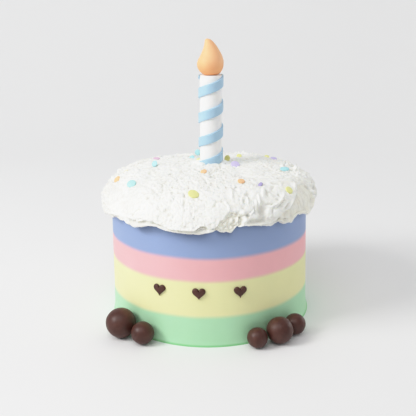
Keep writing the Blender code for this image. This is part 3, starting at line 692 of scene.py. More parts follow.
def add_cream():
    """A fine square grid, pressed to a disc and then to the dome, and closed underneath."""
    bpy.ops.object.select_all(action="DESELECT")
    bpy.ops.mesh.primitive_grid_add(x_subdivisions=CREAM_GRID, y_subdivisions=CREAM_GRID, size=2.0)
    cream = bpy.context.object
    count = len(cream.data.vertices)
    flat = np.empty(count * 3)
    cream.data.vertices.foreach_get("co", flat)
    x, y = flat.reshape(-1, 3)[:, 0], flat.reshape(-1, 3)[:, 1]
    # Squares to circles, each with its own share of the area
    wide = np.abs(x) > np.abs(y)
    reach = np.where(wide, x, y)
    safe = np.where(reach == 0.0, 1.0, reach)
    turn = np.where(wide, math.pi / 4 * y / safe, math.pi / 2 - math.pi / 4 * x / safe)
    u, v = reach * np.cos(turn), reach * np.sin(turn)
    # The mesh is finer towards the edge and the front, where the work is finest
    share = np.hypot(u, v)
    length = share * (1.0 + EDGE_DENSER * (1.0 - share)) * CREAM_LENGTH[-1]
    turn = np.arctan2(u, -v)
    azimuth = np.degrees(turn - FRONT_DENSER * np.sin(turn))
    points = cream_place(azimuth, length)
    normals = cream_normal(azimuth, length)
    relief, shade, bared = cream_relief(points, azimuth, length)
    # The work is held back round the candle, where a low collar stands, and towards the lower edge
    drop = np.clip((WIDEST_HEIGHT - points[:, 2]) / (WIDEST_HEIGHT - CREAM_EDGE), 0.0, 1.2)
    candle = np.hypot(points[:, 0] - CANDLE_X + COLLAR_SHIFT, points[:, 1])
    calm = 0.6 + 0.4 * smooth_step(0.009, 0.016, candle)
    relief += COLLAR * np.exp(-(((candle - STICK_HOLE) / 0.0032) ** 2))
    hold = 1.0 - 0.45 * smooth_step(0.4, 1.0, drop)
    under = smooth_step(CREAM_LENGTH[-1] - 0.0008, CREAM_LENGTH[-1] - 0.0032, length)
    points += normals * (relief * calm * hold * under)[:, None]
    # The lower edge is torn up and down, and curls outward over the frosting
    ragged = 0.0010 * noise_at(points * (1.0, 1.0, 0.15), 0.0036, 2.0)
    ragged += 0.0008 * noise_at(points * (1.0, 1.0, 0.15), 0.0015, 4.0)
    ragged *= 0.3 + 0.4 * smooth_step(22.0, 34.0, azimuth) + 0.5 * smooth_step(60.0, 74.0, np.abs(azimuth))
    smooth_lip = smooth_step(-33.0, -26.0, azimuth) * smooth_step(3.0, -1.0, azimuth)
    points[:, 2] += (edge_rise(azimuth) + ragged * (1.0 - 0.7 * smooth_lip)) * drop
    sides = 0.6 * smooth_step(58.0, 74.0, np.abs(azimuth)) * (1.0 - 0.6 * left_side(azimuth))
    overhang = EDGE_OVERHANG * (1.0 - sides) * np.minimum(drop, 1.0) ** 2
    overhang *= 1.0 - 0.45 * bared * smooth_step(28.0, 18.0, azimuth)
    turn = np.radians(azimuth)
    points[:, 0] += overhang * np.sin(turn)
    points[:, 1] -= overhang * np.cos(turn)
    # The cream lies lower towards the rear
    behind = np.maximum(points[:, 1], 0.0) / CREAM_RADIUS
    near_edge = (np.hypot(points[:, 0], points[:, 1]) / CREAM_RADIUS) ** 6
    points[:, 2] -= REAR_FALL * behind * np.clip(1.0 - near_edge, 0.0, 1.0)
    cream.data.vertices.foreach_set("co", points.ravel())
    # The painted shade for the hollows is kept on the mesh for the material
    painted_hollow_shade = cream.data.attributes.new("painted_hollow_shade", "FLOAT", "POINT")
    painted_hollow_shade.data.foreach_set("value", shade)
    patches = 0.75 + 0.5 * noise_at(points, 0.004, 31.0)
    inside = cream.data.attributes.new("bared", "FLOAT", "POINT")
    inside.data.foreach_set("value", np.clip(bared * patches, 0.0, 1.0))
    bpy.ops.object.mode_set(mode="EDIT")
    bpy.ops.mesh.select_mode(type="EDGE")
    bpy.ops.mesh.select_all(action="DESELECT")
    bpy.ops.mesh.select_non_manifold()
    # The open edge is drawn in to a flat underside just over the frosting
    inner_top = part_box("band_blue")[1].z + 0.0003
    bpy.ops.mesh.extrude_region_move()
    mesh = bmesh.from_edit_mesh(cream.data)
    for vertex in mesh.verts:
        if vertex.select:
            vertex.co.z = inner_top
    bmesh.update_edit_mesh(cream.data)
    bpy.ops.mesh.edge_face_add()
    bpy.ops.mesh.select_all(action="SELECT")
    bpy.ops.mesh.normals_make_consistent(inside=False)
    bpy.ops.object.mode_set(mode="OBJECT")
    bpy.ops.object.shade_smooth_by_angle(angle=math.radians(75))
    return cream


SKIN_TINT = (0.985, 0.988, 0.925)
# Painted shade: the colour in the deepest hollows
HOLLOW_PAINTED_SHADE = (0.81, 0.80, 0.745)
# Warmer colour of bared cream, with painted shade for the recessed cut and hollow
BARED_WARMTH_AND_SHADE = (0.965, 0.945, 0.885, 1.0)


def cream_surface():
    """Bright, barely warm white, with painted shade that darkens it in the hollows, creases and brush
    lines, and tiny bubbles.
    """
    surface, nodes, links, shader = new_surface(
        "whipped_cream", Roughness=0.55, Specular_IOR_Level=0.35, Subsurface_Weight=0.25,
        Subsurface_Radius=(0.003, 0.0026, 0.002), Subsurface_Scale=1.0,
    )
    place = add_node(nodes, "ShaderNodeTexCoord")
    # Painted shade: darker in the hollows, creases and brush lines
    painted_hollow_shade = add_node(nodes, "ShaderNodeAttribute", attribute_name="painted_hollow_shade")
    painted_shade_ramp = blend_colours(nodes, links, painted_hollow_shade.outputs["Fac"], ((0.42, SKIN_TINT), (1.0, HOLLOW_PAINTED_SHADE)))
    # Cream bared by the knife or broken open is tinted warmer and darker: partly its own warmer colour,
    # partly painted shade in these recesses
    bared = add_node(nodes, "ShaderNodeAttribute", attribute_name="bared")
    warm_and_shaded = add_node(nodes, "ShaderNodeMix", data_type="RGBA", blend_type="MULTIPLY")
    warm_and_shaded.inputs[7].default_value = BARED_WARMTH_AND_SHADE
    links.new(bared.outputs["Fac"], warm_and_shaded.inputs["Factor"])
    links.new(painted_shade_ramp.outputs["Color"], warm_and_shaded.inputs[6])
    links.new(warm_and_shaded.outputs[2], shader.inputs["Base Color"])
    fine = add_node(nodes, "ShaderNodeTexNoise", Scale=760.0, Detail=4.0, Roughness=0.65)
    links.new(place.outputs["Object"], fine.inputs["Vector"])
    bubbles = add_node(nodes, "ShaderNodeTexVoronoi", Scale=520.0, feature="F1")
    links.new(place.outputs["Object"], bubbles.inputs["Vector"])
    pits = add_node(nodes, "ShaderNodeMapRange", From_Min=0.0, From_Max=0.32, To_Min=-0.8, To_Max=0.0)
    links.new(bubbles.outputs["Distance"], pits.inputs["Value"])
    both = add_node(nodes, "ShaderNodeMath", operation="ADD")
    links.new(fine.outputs["Fac"], both.inputs[0])
    links.new(pits.outputs[0], both.inputs[1])
    bump = add_node(nodes, "ShaderNodeBump", Strength=0.5, Distance=0.00045)
    links.new(both.outputs[0], bump.inputs["Height"])
    links.new(bump.outputs[0], shader.inputs["Normal"])
    sheen = add_node(nodes, "ShaderNodeMapRange", From_Min=0.3, From_Max=0.7, To_Min=0.5, To_Max=0.64)
    links.new(fine.outputs["Fac"], sheen.inputs["Value"])
    links.new(sheen.outputs[0], shader.inputs["Roughness"])
    return surface


def paint_under_cream_shade(band):
    """Paints shade on the frosting just below the edge of the cream, darker the nearer it lies."""
    values = []
    for vertex in band.data.vertices:
        azimuth = azimuth_of(vertex.co.x, vertex.co.y)
        gap = CREAM_EDGE + float(edge_rise(np.array([azimuth]))[0]) - EDGE_LIFT - vertex.co.z
        middle = float(smooth_step(46.0, 26.0, abs(azimuth + 6.0)))
        values.append((0.45 + 0.55 * middle) * math.exp(-((max(gap, 0.0) / UNDER_CREAM_SHADE_REACH) ** 2)))
    under_cream_shade = band.data.attributes.new("under_cream_shade", "FLOAT", "POINT")
    under_cream_shade.data.foreach_set("value", values)


cream_cap = add_cream()
finish_piece(cream_cap, "cream_cap", "whipped_cream", cream_surface(), "cream")
# Painted shade on the blue frosting just below the cream
paint_under_cream_shade(bpy.data.objects["side_blue"])

# Confetti
# Flat discs of coloured sugar, about 4 to 8 mm across, dropped on the fresh cream: most lie nearly flat
# and a few stand on edge, each a little sunk where it landed.
CONFETTI_COLOURS = {
    "teal": (0.47, 0.84, 0.84),
    "sky": (0.42, 0.80, 0.87),
    "orange": (0.97, 0.56, 0.29),
    "yellow": (0.90, 0.90, 0.36),
    "butter": (0.93, 0.88, 0.62),
    "olive": (0.80, 0.75, 0.24),
    "lilac": (0.66, 0.59, 0.92),
    "purple": (0.38, 0.33, 0.60),
    "pink": (0.80, 0.52, 0.70),
}
# Azimuth and distance on the cake, radius, tilt, the azimuth that the face looks to, colour
CONFETTI = (
    (-127, 0.0560, 0.0031, 5, -20, "pink"),
    (-87, 0.0435, 0.0026, 60, -40, "sky"),
    (-76, 0.0745, 0.0031, 45, -60, "orange"),
    (-88, 0.0670, 0.0022, 40, -60, "butter"),
    (-55, 0.0715, 0.0036, 35, -25, "teal"),
    (-9, 0.0715, 0.0040, 30, 30, "yellow"),
    (-8, 0.0275, 0.0025, 25, -30, "orange"),
    (-138, 0.0120, 0.0018, 20, -20, "yellow"),
    (-155, 0.0330, 0.0022, 40, -20, "sky"),
    (-170, 0.0540, 0.0026, 80, -20, "sky"),
    (120, 0.0180, 0.0025, 75, -30, "olive"),
    (68, 0.0230, 0.0035, 30, 15, "lilac"),
    (136, 0.0375, 0.0022, 35, -10, "yellow"),
    (125, 0.0615, 0.0020, 35, 0, "yellow"),
    (119, 0.0635, 0.0030, 15, 10, "lilac"),
    (82, 0.0615, 0.0036, 10, 0, "sky"),
    (26, 0.0550, 0.0027, 20, 15, "orange"),
    (36, 0.0650, 0.0019, 45, -60, "purple"),
    (49, 0.0790, 0.0030, 45, 45, "yellow"),
)
BACK_CONFETTI = 14
CONFETTI_THICKNESS = 0.0010
CONFETTI_RIM = 0.0003
SEAT_POINTS = 12
PRESS_REACH = 1.4
PRESS_RISE = 0.0016
STANDING_TILT = 50.0
STANDING_SHARE = 0.75


def all_confetti():
    """The discs at the front, and more of the same kind round the back."""
    draw = random.Random(11)
    yield from CONFETTI
    names = list(CONFETTI_COLOURS)
    for index in range(BACK_CONFETTI):
        azimuth = 126 + (index + draw.uniform(-0.3, 0.3)) * 112 / BACK_CONFETTI
        distance = draw.uniform(0.0760, 0.0845)
        size, lean = draw.uniform(0.0020, 0.0034), draw.uniform(5, 15) + (distance - 0.0700) * 2400
        yield azimuth, distance, size, min(lean, 48), azimuth, names[index % len(names)]


def seat_disc(surface_tree, azimuth, distance, radius, tilt, heading):
    """Where a disc comes to lie: on the mean height of the cream below it, or standing in it."""
    angle = math.radians(azimuth)
    place = Vector((distance * math.sin(angle), -distance * math.cos(angle), 0.0))
    turned = Matrix.Rotation(math.radians(heading), 4, "Z") @ Matrix.Rotation(math.radians(tilt), 4, "X")
    heights = []
    for number in range(SEAT_POINTS + 1):
        turn = 2.0 * math.pi * number / SEAT_POINTS
        reach = 0.0 if number == SEAT_POINTS or tilt > STANDING_TILT else radius * 0.9
        point = turned @ Vector((reach * math.cos(turn), reach * math.sin(turn), 0.0))
        landed = surface_tree.ray_cast(place + Vector((point.x, point.y, 0.3)), Vector((0.0, 0.0, -1.0)))[0]
        heights.append(landed.z - point.z)
    place.z = sum(heights) / len(heights) + CONFETTI_THICKNESS * 0.4
    if tilt > STANDING_TILT:
        place.z += radius * math.sin(math.radians(tilt)) * STANDING_SHARE
    return Matrix.Translation(place) @ turned


def press_cream(points, seat, radius):
    """Pushes cream that would come through a disc down to its lower face, with a soft rim."""
    back = np.array(seat.inverted())
    local = points @ back[:3, :3].T + back[:3, 3]
    away = np.hypot(local[:, 0], local[:, 1])
    limit = -CONFETTI_THICKNESS / 2 + PRESS_RISE * smooth_step(radius, radius * PRESS_REACH, away)
    high = (away < radius * PRESS_REACH) & (local[:, 2] > limit) & (local[:, 2] < 0.004)
    points[high] -= (local[high, 2] - limit[high])[:, None] * np.array(seat)[:3, 2]


def add_disc(seat, radius):
    """One disc with softened rims, laid in its seat."""
    bpy.ops.object.select_all(action="DESELECT")
    bpy.ops.mesh.primitive_cylinder_add(vertices=22, radius=radius, depth=CONFETTI_THICKNESS)
    disc = bpy.context.object
    bpy.ops.object.mode_set(mode="EDIT")
    pick_edges(disc, lambda edge: edge.verts[0].co.z * edge.verts[1].co.z > 0.0)
    bpy.ops.mesh.bevel(offset=CONFETTI_RIM, segments=2)
    bpy.ops.object.mode_set(mode="OBJECT")
    disc.data.transform(seat)
    bpy.ops.object.shade_smooth_by_angle(angle=math.radians(40))
    return disc


def sugar_surface(name, colour):
    """Pressed sugar: flat colour broken by fine grains and paler, rubbed patches."""
    surface, nodes, links, shader = new_surface(name, Roughness=0.5)
    place = add_node(nodes, "ShaderNodeTexCoord")
    grain = add_node(nodes, "ShaderNodeTexNoise", Scale=1400.0, Detail=2.0)
    links.new(place.outputs["Object"], grain.inputs["Vector"])
    deep = [value * 0.93 for value in colour]
    rubbed = [value + (1.0 - value) * 0.10 for value in colour]
    shade = blend_colours(nodes, links, grain.outputs["Fac"], ((0.3, deep), (0.75, rubbed)))
    links.new(shade.outputs["Color"], shader.inputs["Base Color"])
    bump = add_node(nodes, "ShaderNodeBump", Strength=0.3, Distance=0.0001)
    links.new(grain.outputs["Fac"], bump.inputs["Height"])
    links.new(bump.outputs[0], shader.inputs["Normal"])
    return surface


bpy.context.view_layer.update()
cream_tree = BVHTree.FromObject(cream_cap, bpy.context.evaluated_depsgraph_get())
cream_points = np.empty(len(cream_cap.data.vertices) * 3)
cream_cap.data.vertices.foreach_get("co", cream_points)
cream_points = cream_points.reshape(-1, 3)
discs = {}
for azimuth, distance, radius, tilt, heading, colour_name in all_confetti():
    seat = seat_disc(cream_tree, azimuth, distance, radius, tilt, heading)
    if tilt <= STANDING_TILT:
        press_cream(cream_points, seat, radius)
    discs.setdefault(colour_name, []).append(add_disc(seat, radius))
cream_cap.data.vertices.foreach_set("co", cream_points.ravel())
cream_cap.data.update()
for colour_name, group in discs.items():
    bpy.ops.object.select_all(action="DESELECT")
    for disc in group:
        disc.select_set(True)
    bpy.context.view_layer.objects.active = group[0]
    if len(group) > 1:
        bpy.ops.object.join()
    surface = sugar_surface("sugar_" + colour_name, CONFETTI_COLOURS[colour_name])
    finish_piece(group[0], "confetti_" + colour_name, "whipped_cream", surface)

# Candle stick
# A thick stick of white sugar paste, rolled by hand on a board and pushed into the cream. Its
# top edge is soft, and the rolling leaves it faintly uneven.
STICK_RADIUS = 0.0087
CANDLE_LEAN = 0.012
STICK_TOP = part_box("candle_stick")[1].z
STICK_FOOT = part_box("candle_stick")[0].z
STICK_EDGE = 0.0008
ROLLED_DEPTH = 0.00012
WHITE_PASTE = (0.915, 0.912, 0.900)


def paste_surface(name, colour):
    """Sugar paste: satin, with faint cloudiness and the finest orange-peel bump."""
    surface, nodes, links, shader = new_surface(
        name, Roughness=0.48, Specular_IOR_Level=0.22, Subsurface_Weight=0.20,
        Subsurface_Radius=(0.003, 0.0025, 0.002), Subsurface_Scale=1.0,
    )
    place = add_node(nodes, "ShaderNodeTexCoord")
    cloud = add_node(nodes, "ShaderNodeTexNoise", Scale=120.0, Detail=3.0)
    links.new(place.outputs["Object"], cloud.inputs["Vector"])
    deep = [value * 0.965 for value in colour]
    pale = [min(value * 1.025, 1.0) for value in colour]
    shade = blend_colours(nodes, links, cloud.outputs["Fac"], ((0.3, deep), (0.7, pale)))
    links.new(shade.outputs["Color"], shader.inputs["Base Color"])
    peel = add_node(nodes, "ShaderNodeTexNoise", Scale=700.0, Detail=2.0)
    links.new(place.outputs["Object"], peel.inputs["Vector"])
    bump = add_node(nodes, "ShaderNodeBump", Strength=0.25, Distance=0.00015)
    links.new(peel.outputs["Fac"], bump.inputs["Height"])
    links.new(bump.outputs[0], shader.inputs["Normal"])
    return surface


def add_stick():
    bpy.ops.object.select_all(action="DESELECT")
    depth = STICK_TOP - STICK_FOOT
    bpy.ops.mesh.primitive_cylinder_add(
        vertices=96, radius=STICK_RADIUS, depth=depth, location=(CANDLE_X, 0.0, STICK_FOOT + depth / 2)
    )
    stick = bpy.context.object
    bpy.ops.object.transform_apply(location=True)
    bpy.ops.object.mode_set(mode="EDIT")
    pick_edges(stick, lambda edge: abs(edge.verts[0].co.z - edge.verts[1].co.z) > depth / 2)
    bpy.ops.mesh.subdivide(number_cuts=60)
    pick_edges(stick, lambda edge: min(vertex.co.z for vertex in edge.verts) > STICK_TOP - 0.0001)
    bpy.ops.mesh.bevel(offset=STICK_EDGE, segments=4)
    bpy.ops.object.mode_set(mode="OBJECT")
    for vertex in stick.data.vertices:
        out = Vector((vertex.co.x - CANDLE_X, vertex.co.y, 0.0))
        if out.length > STICK_RADIUS / 2:
            vertex.co += out.normalized() * ROLLED_DEPTH * noise.noise(vertex.co / 0.009)
        vertex.co.x -= CANDLE_LEAN * (STICK_TOP - vertex.co.z)
    bpy.ops.object.shade_smooth_by_angle(angle=math.radians(50))
    white = paste_surface("white_paste", WHITE_PASTE)
    finish_piece(stick, "white_candle", "white_sugar_paste", white, "candle_stick")


add_stick()

# Candle ribbon
# A strip of pale blue sugar paste, rolled out, cut with a knife and wound up the stick to the
# right. It is trimmed level at the top, where its end sags a little behind the stick on the left,
# and its lowest turn goes down into the cream.
RIBBON_HEIGHT = 0.0078
RIBBON_INNER = 0.0086
RIBBON_OUTER = 0.0099
RIBBON_PITCH = 0.0196
RIBBON_LEVEL_RIGHT = 0.1298
RIBBON_TURNS = 5
RIBBON_END = 5.5
RIBBON_SAG = 0.0046
BLUE_PASTE = (0.440, 0.638, 0.800)


def add_ribbon():
    bpy.ops.object.select_all(action="DESELECT")
    middle = (RIBBON_INNER + RIBBON_OUTER) / 2
    bpy.ops.mesh.primitive_plane_add(size=1.0, rotation=(math.pi / 2, 0.0, 0.0))
    ribbon = bpy.context.object
    bpy.ops.object.transform_apply(rotation=True)
    ribbon.scale = (RIBBON_OUTER - RIBBON_INNER, 1.0, RIBBON_HEIGHT)
    bpy.ops.object.transform_apply(scale=True)
    bpy.ops.object.mode_set(mode="EDIT")
    bpy.ops.mesh.select_mode(type="VERT")
    bpy.ops.mesh.select_all(action="DESELECT")
    mesh = bmesh.from_edit_mesh(ribbon.data)
    for vertex in mesh.verts:
        vertex.select = vertex.co.x > 0.0
    bmesh.update_edit_mesh(ribbon.data)
    bpy.ops.mesh.bevel(offset=0.0004, segments=3, affect="VERTICES")
    bpy.ops.mesh.select_all(action="SELECT")
    bpy.ops.mesh.delete(type="ONLY_FACE")
    pick_edges(ribbon, lambda edge: edge.calc_length() > RIBBON_HEIGHT * 0.7)
    bpy.ops.mesh.subdivide(number_cuts=7)
    bpy.ops.object.mode_set(mode="OBJECT")
    lift = RIBBON_LEVEL_RIGHT - 2 * RIBBON_PITCH
    ribbon.data.transform(Matrix.Translation((middle, 0.0, lift)))
    wind = ribbon.modifiers.new("Wind", "SCREW")
    wind.axis = "Z"
    wind.steps = 80
    wind.render_steps = 80
    wind.iterations = RIBBON_TURNS + 2
    wind.screw_offset = RIBBON_PITCH
    bpy.ops.object.modifier_apply(modifier="Wind")
    for vertex in ribbon.data.vertices:
        turned = math.atan2(vertex.co.y, vertex.co.x) / (2.0 * math.pi) % 1.0
        wound = round((vertex.co.z - lift) / RIBBON_PITCH - turned) + turned
        if wound > RIBBON_END - 0.5:
            sag = (wound - RIBBON_END) / (0.22 if wound < RIBBON_END else 0.07)
            vertex.co.z -= RIBBON_SAG * math.exp(-sag * sag)
    ribbon.data.transform(Matrix.Translation((CANDLE_X, 0.0, 0.0)))
    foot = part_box("candle_ribbon")[0].z - 0.004
    bpy.ops.object.mode_set(mode="EDIT")
    for level, clear_above in ((foot, False), (STICK_TOP, True)):
        bpy.ops.mesh.select_all(action="SELECT")
        bpy.ops.mesh.bisect(
            plane_co=(0.0, 0.0, level), plane_no=(0.0, 0.0, 1.0), use_fill=True,
            clear_inner=not clear_above, clear_outer=clear_above,
        )
    bpy.ops.mesh.select_all(action="SELECT")
    bpy.ops.mesh.normals_make_consistent(inside=False)
    bpy.ops.object.mode_set(mode="OBJECT")
    for vertex in ribbon.data.vertices:
        out = Vector((vertex.co.x - CANDLE_X, vertex.co.y, 0.0))
        if out.length > middle:
            vertex.co += out.normalized() * ROLLED_DEPTH * noise.noise(vertex.co / 0.006)
            if foot < vertex.co.z < STICK_TOP - 0.0005:
                vertex.co.z += 0.00025 * noise.noise(vertex.co / 0.011)
        vertex.co.x -= CANDLE_LEAN * (STICK_TOP - vertex.co.z)
    bpy.ops.object.shade_smooth_by_angle(angle=math.radians(45))
    blue = paste_surface("blue_paste", BLUE_PASTE)
    finish_piece(ribbon, "blue_ribbon", "blue_sugar_paste", blue, "candle_ribbon")


add_ribbon()

# Flame
# A drop of orange sugar paste, rolled between the palms, drawn out to a soft tip that bends over
# to the left, and pressed flat on top of the stick.
FLAME_HEIGHT = 0.0276
# Down from the tip: distance and half width, and how far the middle lies to the right, in mm
FLAME_OUTLINE = (
    (0.0, 0.0, -2.5),
    (0.3, 1.35, -2.3),
    (1.1, 2.45, -1.9),
    (2.7, 3.5, -1.1),
    (6.7, 5.5, 0.0),
    (12.4, 8.3, 0.4),
    (16.0, 9.9, 0.0),
    (18.7, 10.4, -0.3),
    (21.5, 10.1, -0.3),
    (24.0, 9.1, -0.2),
    (25.9, 7.6, 0.0),
    (26.8, 6.4, 0.0),
    (27.4, 4.6, 0.0),
    (27.6, 0.0, 0.0),
)
FLAME_RINGS = 60
ORANGE_PASTE = (1.0, 0.548, 0.295)
# Painted shade towards the foot of the drop, and how far up it reaches
FOOT_PAINTED_SHADE = (1.0, 0.80, 0.60, 1.0)
FOOT_SHADE_REACH = 0.014


def along_outline(outline, share):
    """A point on a smooth line through the outline's points, evenly from the first to the last."""
    place = share * (len(outline) - 1)
    index = min(int(place), len(outline) - 2)
    part = place - index
    before, start = outline[max(index - 1, 0)], outline[index]
    end, after = outline[index + 1], outline[min(index + 2, len(outline) - 1)]
    values = []
    for p, q, r, s in zip(before, start, end, after):
        bend = (2 * p - 5 * q + 4 * r - s) * part ** 2 + (3 * q - p - 3 * r + s) * part ** 3
        values.append(0.5 * (2 * q + (r - p) * part + bend))
    return values


def add_flame():
    """A sphere drawn to the drop's outline, ring by ring."""
    bpy.ops.object.select_all(action="DESELECT")
    bpy.ops.mesh.primitive_uv_sphere_add(segments=64, ring_count=FLAME_RINGS, radius=1.0)
    flame = bpy.context.object
    for vertex in flame.data.vertices:
        x, y, z = vertex.co
        share = math.acos(max(-1.0, min(1.0, z))) / math.pi
        down, half, middle = (value / 1000.0 for value in along_outline(FLAME_OUTLINE, share))
        turn = math.atan2(y, x)
        hand = max(half, 0.0) * (1.0 + 0.015 * noise.noise(Vector((x, y, z)) * 1.7))
        vertex.co.x = CANDLE_X + middle + hand * math.cos(turn)
        vertex.co.y = hand * math.sin(turn)
        vertex.co.z = STICK_TOP + FLAME_HEIGHT - max(down, 0.0)
    bpy.ops.object.shade_smooth_by_angle(angle=math.radians(60))
    paste = paste_surface("orange_paste", ORANGE_PASTE)
    nodes, links = paste.node_tree.nodes, paste.node_tree.links
    # Painted shade: the orange is deeper and darker towards the foot of the drop, where it sits on the
    # stick
    place = add_node(nodes, "ShaderNodeTexCoord")
    axes = add_node(nodes, "ShaderNodeSeparateXYZ")
    links.new(place.outputs["Object"], axes.inputs[0])
    deep = add_node(
        nodes, "ShaderNodeMapRange", interpolation_type="SMOOTHSTEP",
        From_Min=STICK_TOP, From_Max=STICK_TOP + FOOT_SHADE_REACH, To_Min=0.75, To_Max=0.0,
    )
    links.new(axes.outputs["Z"], deep.inputs["Value"])
    darker = add_node(nodes, "ShaderNodeMix", data_type="RGBA", blend_type="MULTIPLY")
    darker.inputs[7].default_value = FOOT_PAINTED_SHADE
    base = nodes["Principled BSDF"].inputs["Base Color"]
    links.new(deep.outputs[0], darker.inputs["Factor"])
    links.new(base.links[0].from_socket, darker.inputs[6])
    links.new(darker.outputs[2], base)
    finish_piece(flame, "sugar_flame", "orange_sugar_paste", paste, "flame")


add_flame()

# Chocolate hearts
# Small hearts of dark chocolate, cast flat with soft edges and pressed upright into the frosting
# of the yellow band while it was soft.
HEART_AZIMUTHS = (-28, -6, 16)
HEART_LEVEL = 0.0435
HEART_HALF_WIDTH = 0.0050
HEART_SUNK = 0.0002
HEART_POINTS = 72
# The rounded front, ring by ring: how far each rises and how much of the width is left
HEART_RINGS = (
    (0.0008, 1.0), (0.0004, 0.97), (0.0003, 0.94), (0.0003, 0.90), (0.0002, 0.85), (0.00015, 0.76),
    (0.0001, 0.6), (0.00005, 0.4),
)
DARK_CHOCOLATE = (0.064, 0.0215, 0.0155)
BLOOMED_CHOCOLATE = (0.100, 0.037, 0.027)


def chocolate_surface():
    """Dark chocolate: deep brown, soft gloss, faint bloom and hand marks."""
    surface, nodes, links, shader = new_surface("dark_chocolate", Roughness=0.40, Specular_IOR_Level=0.36)
    place = add_node(nodes, "ShaderNodeTexCoord")
    bloom = add_node(nodes, "ShaderNodeTexNoise", Scale=150.0, Detail=4.0, Roughness=0.6)
    links.new(place.outputs["Object"], bloom.inputs["Vector"])
    tones = ((0.35, DARK_CHOCOLATE), (0.75, BLOOMED_CHOCOLATE))
    shade = blend_colours(nodes, links, bloom.outputs["Fac"], tones)
    links.new(shade.outputs["Color"], shader.inputs["Base Color"])
    marks = add_node(nodes, "ShaderNodeMapRange", From_Min=0.3, From_Max=0.7, To_Min=0.36, To_Max=0.50)
    links.new(bloom.outputs["Fac"], marks.inputs["Value"])
    links.new(marks.outputs[0], shader.inputs["Roughness"])
    bump = add_node(nodes, "ShaderNodeBump", Strength=0.25, Distance=0.0003)
    links.new(bloom.outputs["Fac"], bump.inputs["Height"])
    links.new(bump.outputs[0], shader.inputs["Normal"])
    return surface


chocolate = chocolate_surface()


def add_heart(number, azimuth):
    """A disc drawn to a heart's outline, rounded over at the front, stood against the side."""
    bpy.ops.object.select_all(action="DESELECT")
    bpy.ops.mesh.primitive_circle_add(vertices=HEART_POINTS, radius=1.0, fill_type="NGON")
    heart = bpy.context.object
    for index, vertex in enumerate(heart.data.vertices):
        turn = 2.0 * math.pi * index / HEART_POINTS
        across = math.sin(turn) ** 3
        up = 13 * math.cos(turn) - 5 * math.cos(2 * turn) - 2 * math.cos(3 * turn) - math.cos(4 * turn)
        vertex.co = (across * HEART_HALF_WIDTH, up / 16 * HEART_HALF_WIDTH, 0.0)
    bpy.ops.object.mode_set(mode="EDIT")
    bpy.ops.mesh.select_mode(type="FACE")
    bpy.ops.mesh.select_all(action="SELECT")
    bpy.ops.mesh.normals_make_consistent(inside=False)
    for rise, shrink in HEART_RINGS:
        bpy.ops.mesh.extrude_region_move(TRANSFORM_OT_translate={"value": (0.0, 0.0, rise)})
        bpy.ops.transform.resize(value=(shrink, shrink, 1.0), center_override=(0.0, 0.0, 0.0))
    bpy.ops.mesh.select_all(action="SELECT")
    bpy.ops.mesh.normals_make_consistent(inside=False)
    bpy.ops.object.mode_set(mode="OBJECT")
    standoff = side_radius(HEART_LEVEL) - HEART_SUNK
    angle = math.radians(azimuth)
    place = Vector((standoff * math.sin(angle), -standoff * math.cos(angle), HEART_LEVEL))
    turned = Matrix.Rotation(angle, 4, "Z") @ Matrix.Rotation(math.pi / 2, 4, "X")
    heart.data.transform(Matrix.Translation(place) @ turned)
    bpy.ops.object.shade_smooth_by_angle(angle=math.radians(50))
    finish_piece(heart, f"chocolate_heart_{number}", "dark_chocolate", chocolate, f"heart_{number}")


for number, azimuth in enumerate(HEART_AZIMUTHS, 1):
    add_heart(number, azimuth)

# Chocolate truffles
# Balls of dark chocolate, rolled in the palms so that none is quite round, set down against the
# foot of the cake in two small groups.
TRUFFLES = 5


def add_truffle(number):
    node = f"truffle_{number}"
    low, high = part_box(node)
    middle = (low + high) / 2
    radius = (high.x - low.x) / 2
    bpy.ops.object.select_all(action="DESELECT")
    bpy.ops.mesh.primitive_ico_sphere_add(subdivisions=5, radius=radius)
    truffle = bpy.context.object
    shift = Vector((number * 3.7, number * -1.9, number * 5.3))
    for vertex in truffle.data.vertices:
        way = vertex.co.normalized()
        uneven = 0.022 * noise.noise(way * 1.1 + shift) + 0.006 * noise.noise(way * 3.2 + shift)
        vertex.co *= 0.985 + uneven
        vertex.co += middle
        vertex.co.z = max(vertex.co.z, 0.0)
    bpy.ops.object.shade_smooth_by_angle(angle=math.radians(50))
    finish_piece(truffle, f"chocolate_truffle_{number}", "dark_chocolate", chocolate, node)


for number in range(1, TRUFFLES + 1):
    add_truffle(number)

# Studio
# A plain pale sheet that lies under the cake and curves up softly behind it.
SHEET_REACH = 1.6
SHEET_CURVE = 0.7


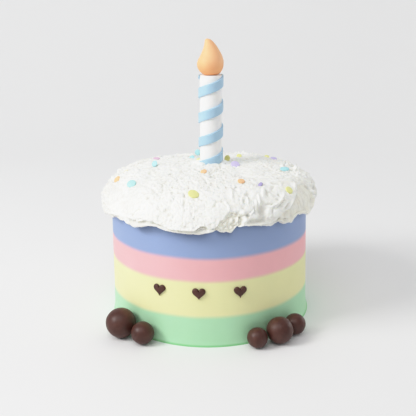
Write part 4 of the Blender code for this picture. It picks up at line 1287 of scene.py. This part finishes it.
def add_sheet():
    bpy.ops.object.select_all(action="DESELECT")
    bpy.ops.mesh.primitive_plane_add(size=SHEET_REACH * 2)
    sheet = bpy.context.object
    bpy.ops.object.mode_set(mode="EDIT")
    pick_edges(sheet, lambda edge: min(vertex.co.y for vertex in edge.verts) > SHEET_REACH * 0.9)
    bpy.ops.mesh.extrude_region_move(TRANSFORM_OT_translate={"value": (0.0, 0.0, SHEET_REACH)})
    rear = SHEET_REACH * 0.9
    pick_edges(sheet, lambda edge: all(vertex.co.y > rear and vertex.co.z < 0.1 for vertex in edge.verts))
    bpy.ops.mesh.bevel(offset=SHEET_CURVE, segments=24)
    bpy.ops.object.mode_set(mode="OBJECT")
    bpy.ops.object.shade_smooth()
    sheet.data.transform(Matrix.Translation((0.0, -SHEET_REACH * 0.2, 0.0)))
    sheet.name = "studio_sheet"
    surface = new_surface("pale_sheet", Roughness=0.75, Base_Color=(0.86, 0.86, 0.86, 1.0))[0]
    sheet.data.materials.append(surface)


def add_light(name, place, aim, size, power, colour=(1.0, 1.0, 1.0)):
    data = bpy.data.lights.new(name, "AREA")
    data.shape = "RECTANGLE"
    data.size, data.size_y = size
    data.energy = power
    data.color = colour
    light = bpy.data.objects.new(name, data)
    bpy.context.scene.collection.objects.link(light)
    light.location = place
    light.rotation_euler = (Vector(aim) - Vector(place)).to_track_quat("-Z", "Y").to_euler()


add_sheet()
add_light("window", (-1.27, -0.56, 1.05), (0.0, 0.0, 0.08), (0.6, 0.6), 17.0, (1.0, 0.995, 0.985))
add_light("overhead", (-0.20, -0.75, 1.20), (0.0, 0.0, 0.08), (1.0, 0.8), 4.9)
add_light("bounce", (1.27, 0.59, 0.40), (0.0, 0.0, 0.08), (0.9, 0.7), 4.2, (1.0, 0.985, 0.96))
add_light("backdrop", (-0.10, 0.75, 1.35), (-0.02, 1.20, 0.75), (0.5, 0.4), 1.2)
world = bpy.data.worlds.new("soft_room")
bpy.context.scene.world = world
world.use_nodes = True
world.node_tree.nodes["Background"].inputs["Color"].default_value = (0.97, 0.98, 1.0, 1.0)
world.node_tree.nodes["Background"].inputs["Strength"].default_value = 0.43
# A soft shoulder, as a camera has: white cream and paste keep their shading in full light
SHOULDER_REACH = 1.6
SHOULDER = (
    (0.0, 0.0), (0.2, 0.2), (0.4, 0.4), (0.6, 0.6), (0.7, 0.698), (0.8, 0.780), (0.9, 0.843), (1.0, 0.888),
    (1.1, 0.921), (1.2, 0.946), (1.4, 0.978), (1.6, 0.995),
)
view = bpy.context.scene.view_settings
view.view_transform = "Standard"
view.use_curve_mapping = True
tone = view.curve_mapping
tone.white_level = (SHOULDER_REACH, SHOULDER_REACH, SHOULDER_REACH)
for index, (light, shown) in enumerate(SHOULDER):
    if index in (0, len(SHOULDER) - 1):
        point = tone.curves[3].points[0 if index == 0 else -1]
        point.location = (light / SHOULDER_REACH, shown)
    else:
        tone.curves[3].points.new(light / SHOULDER_REACH, shown)
tone.update()
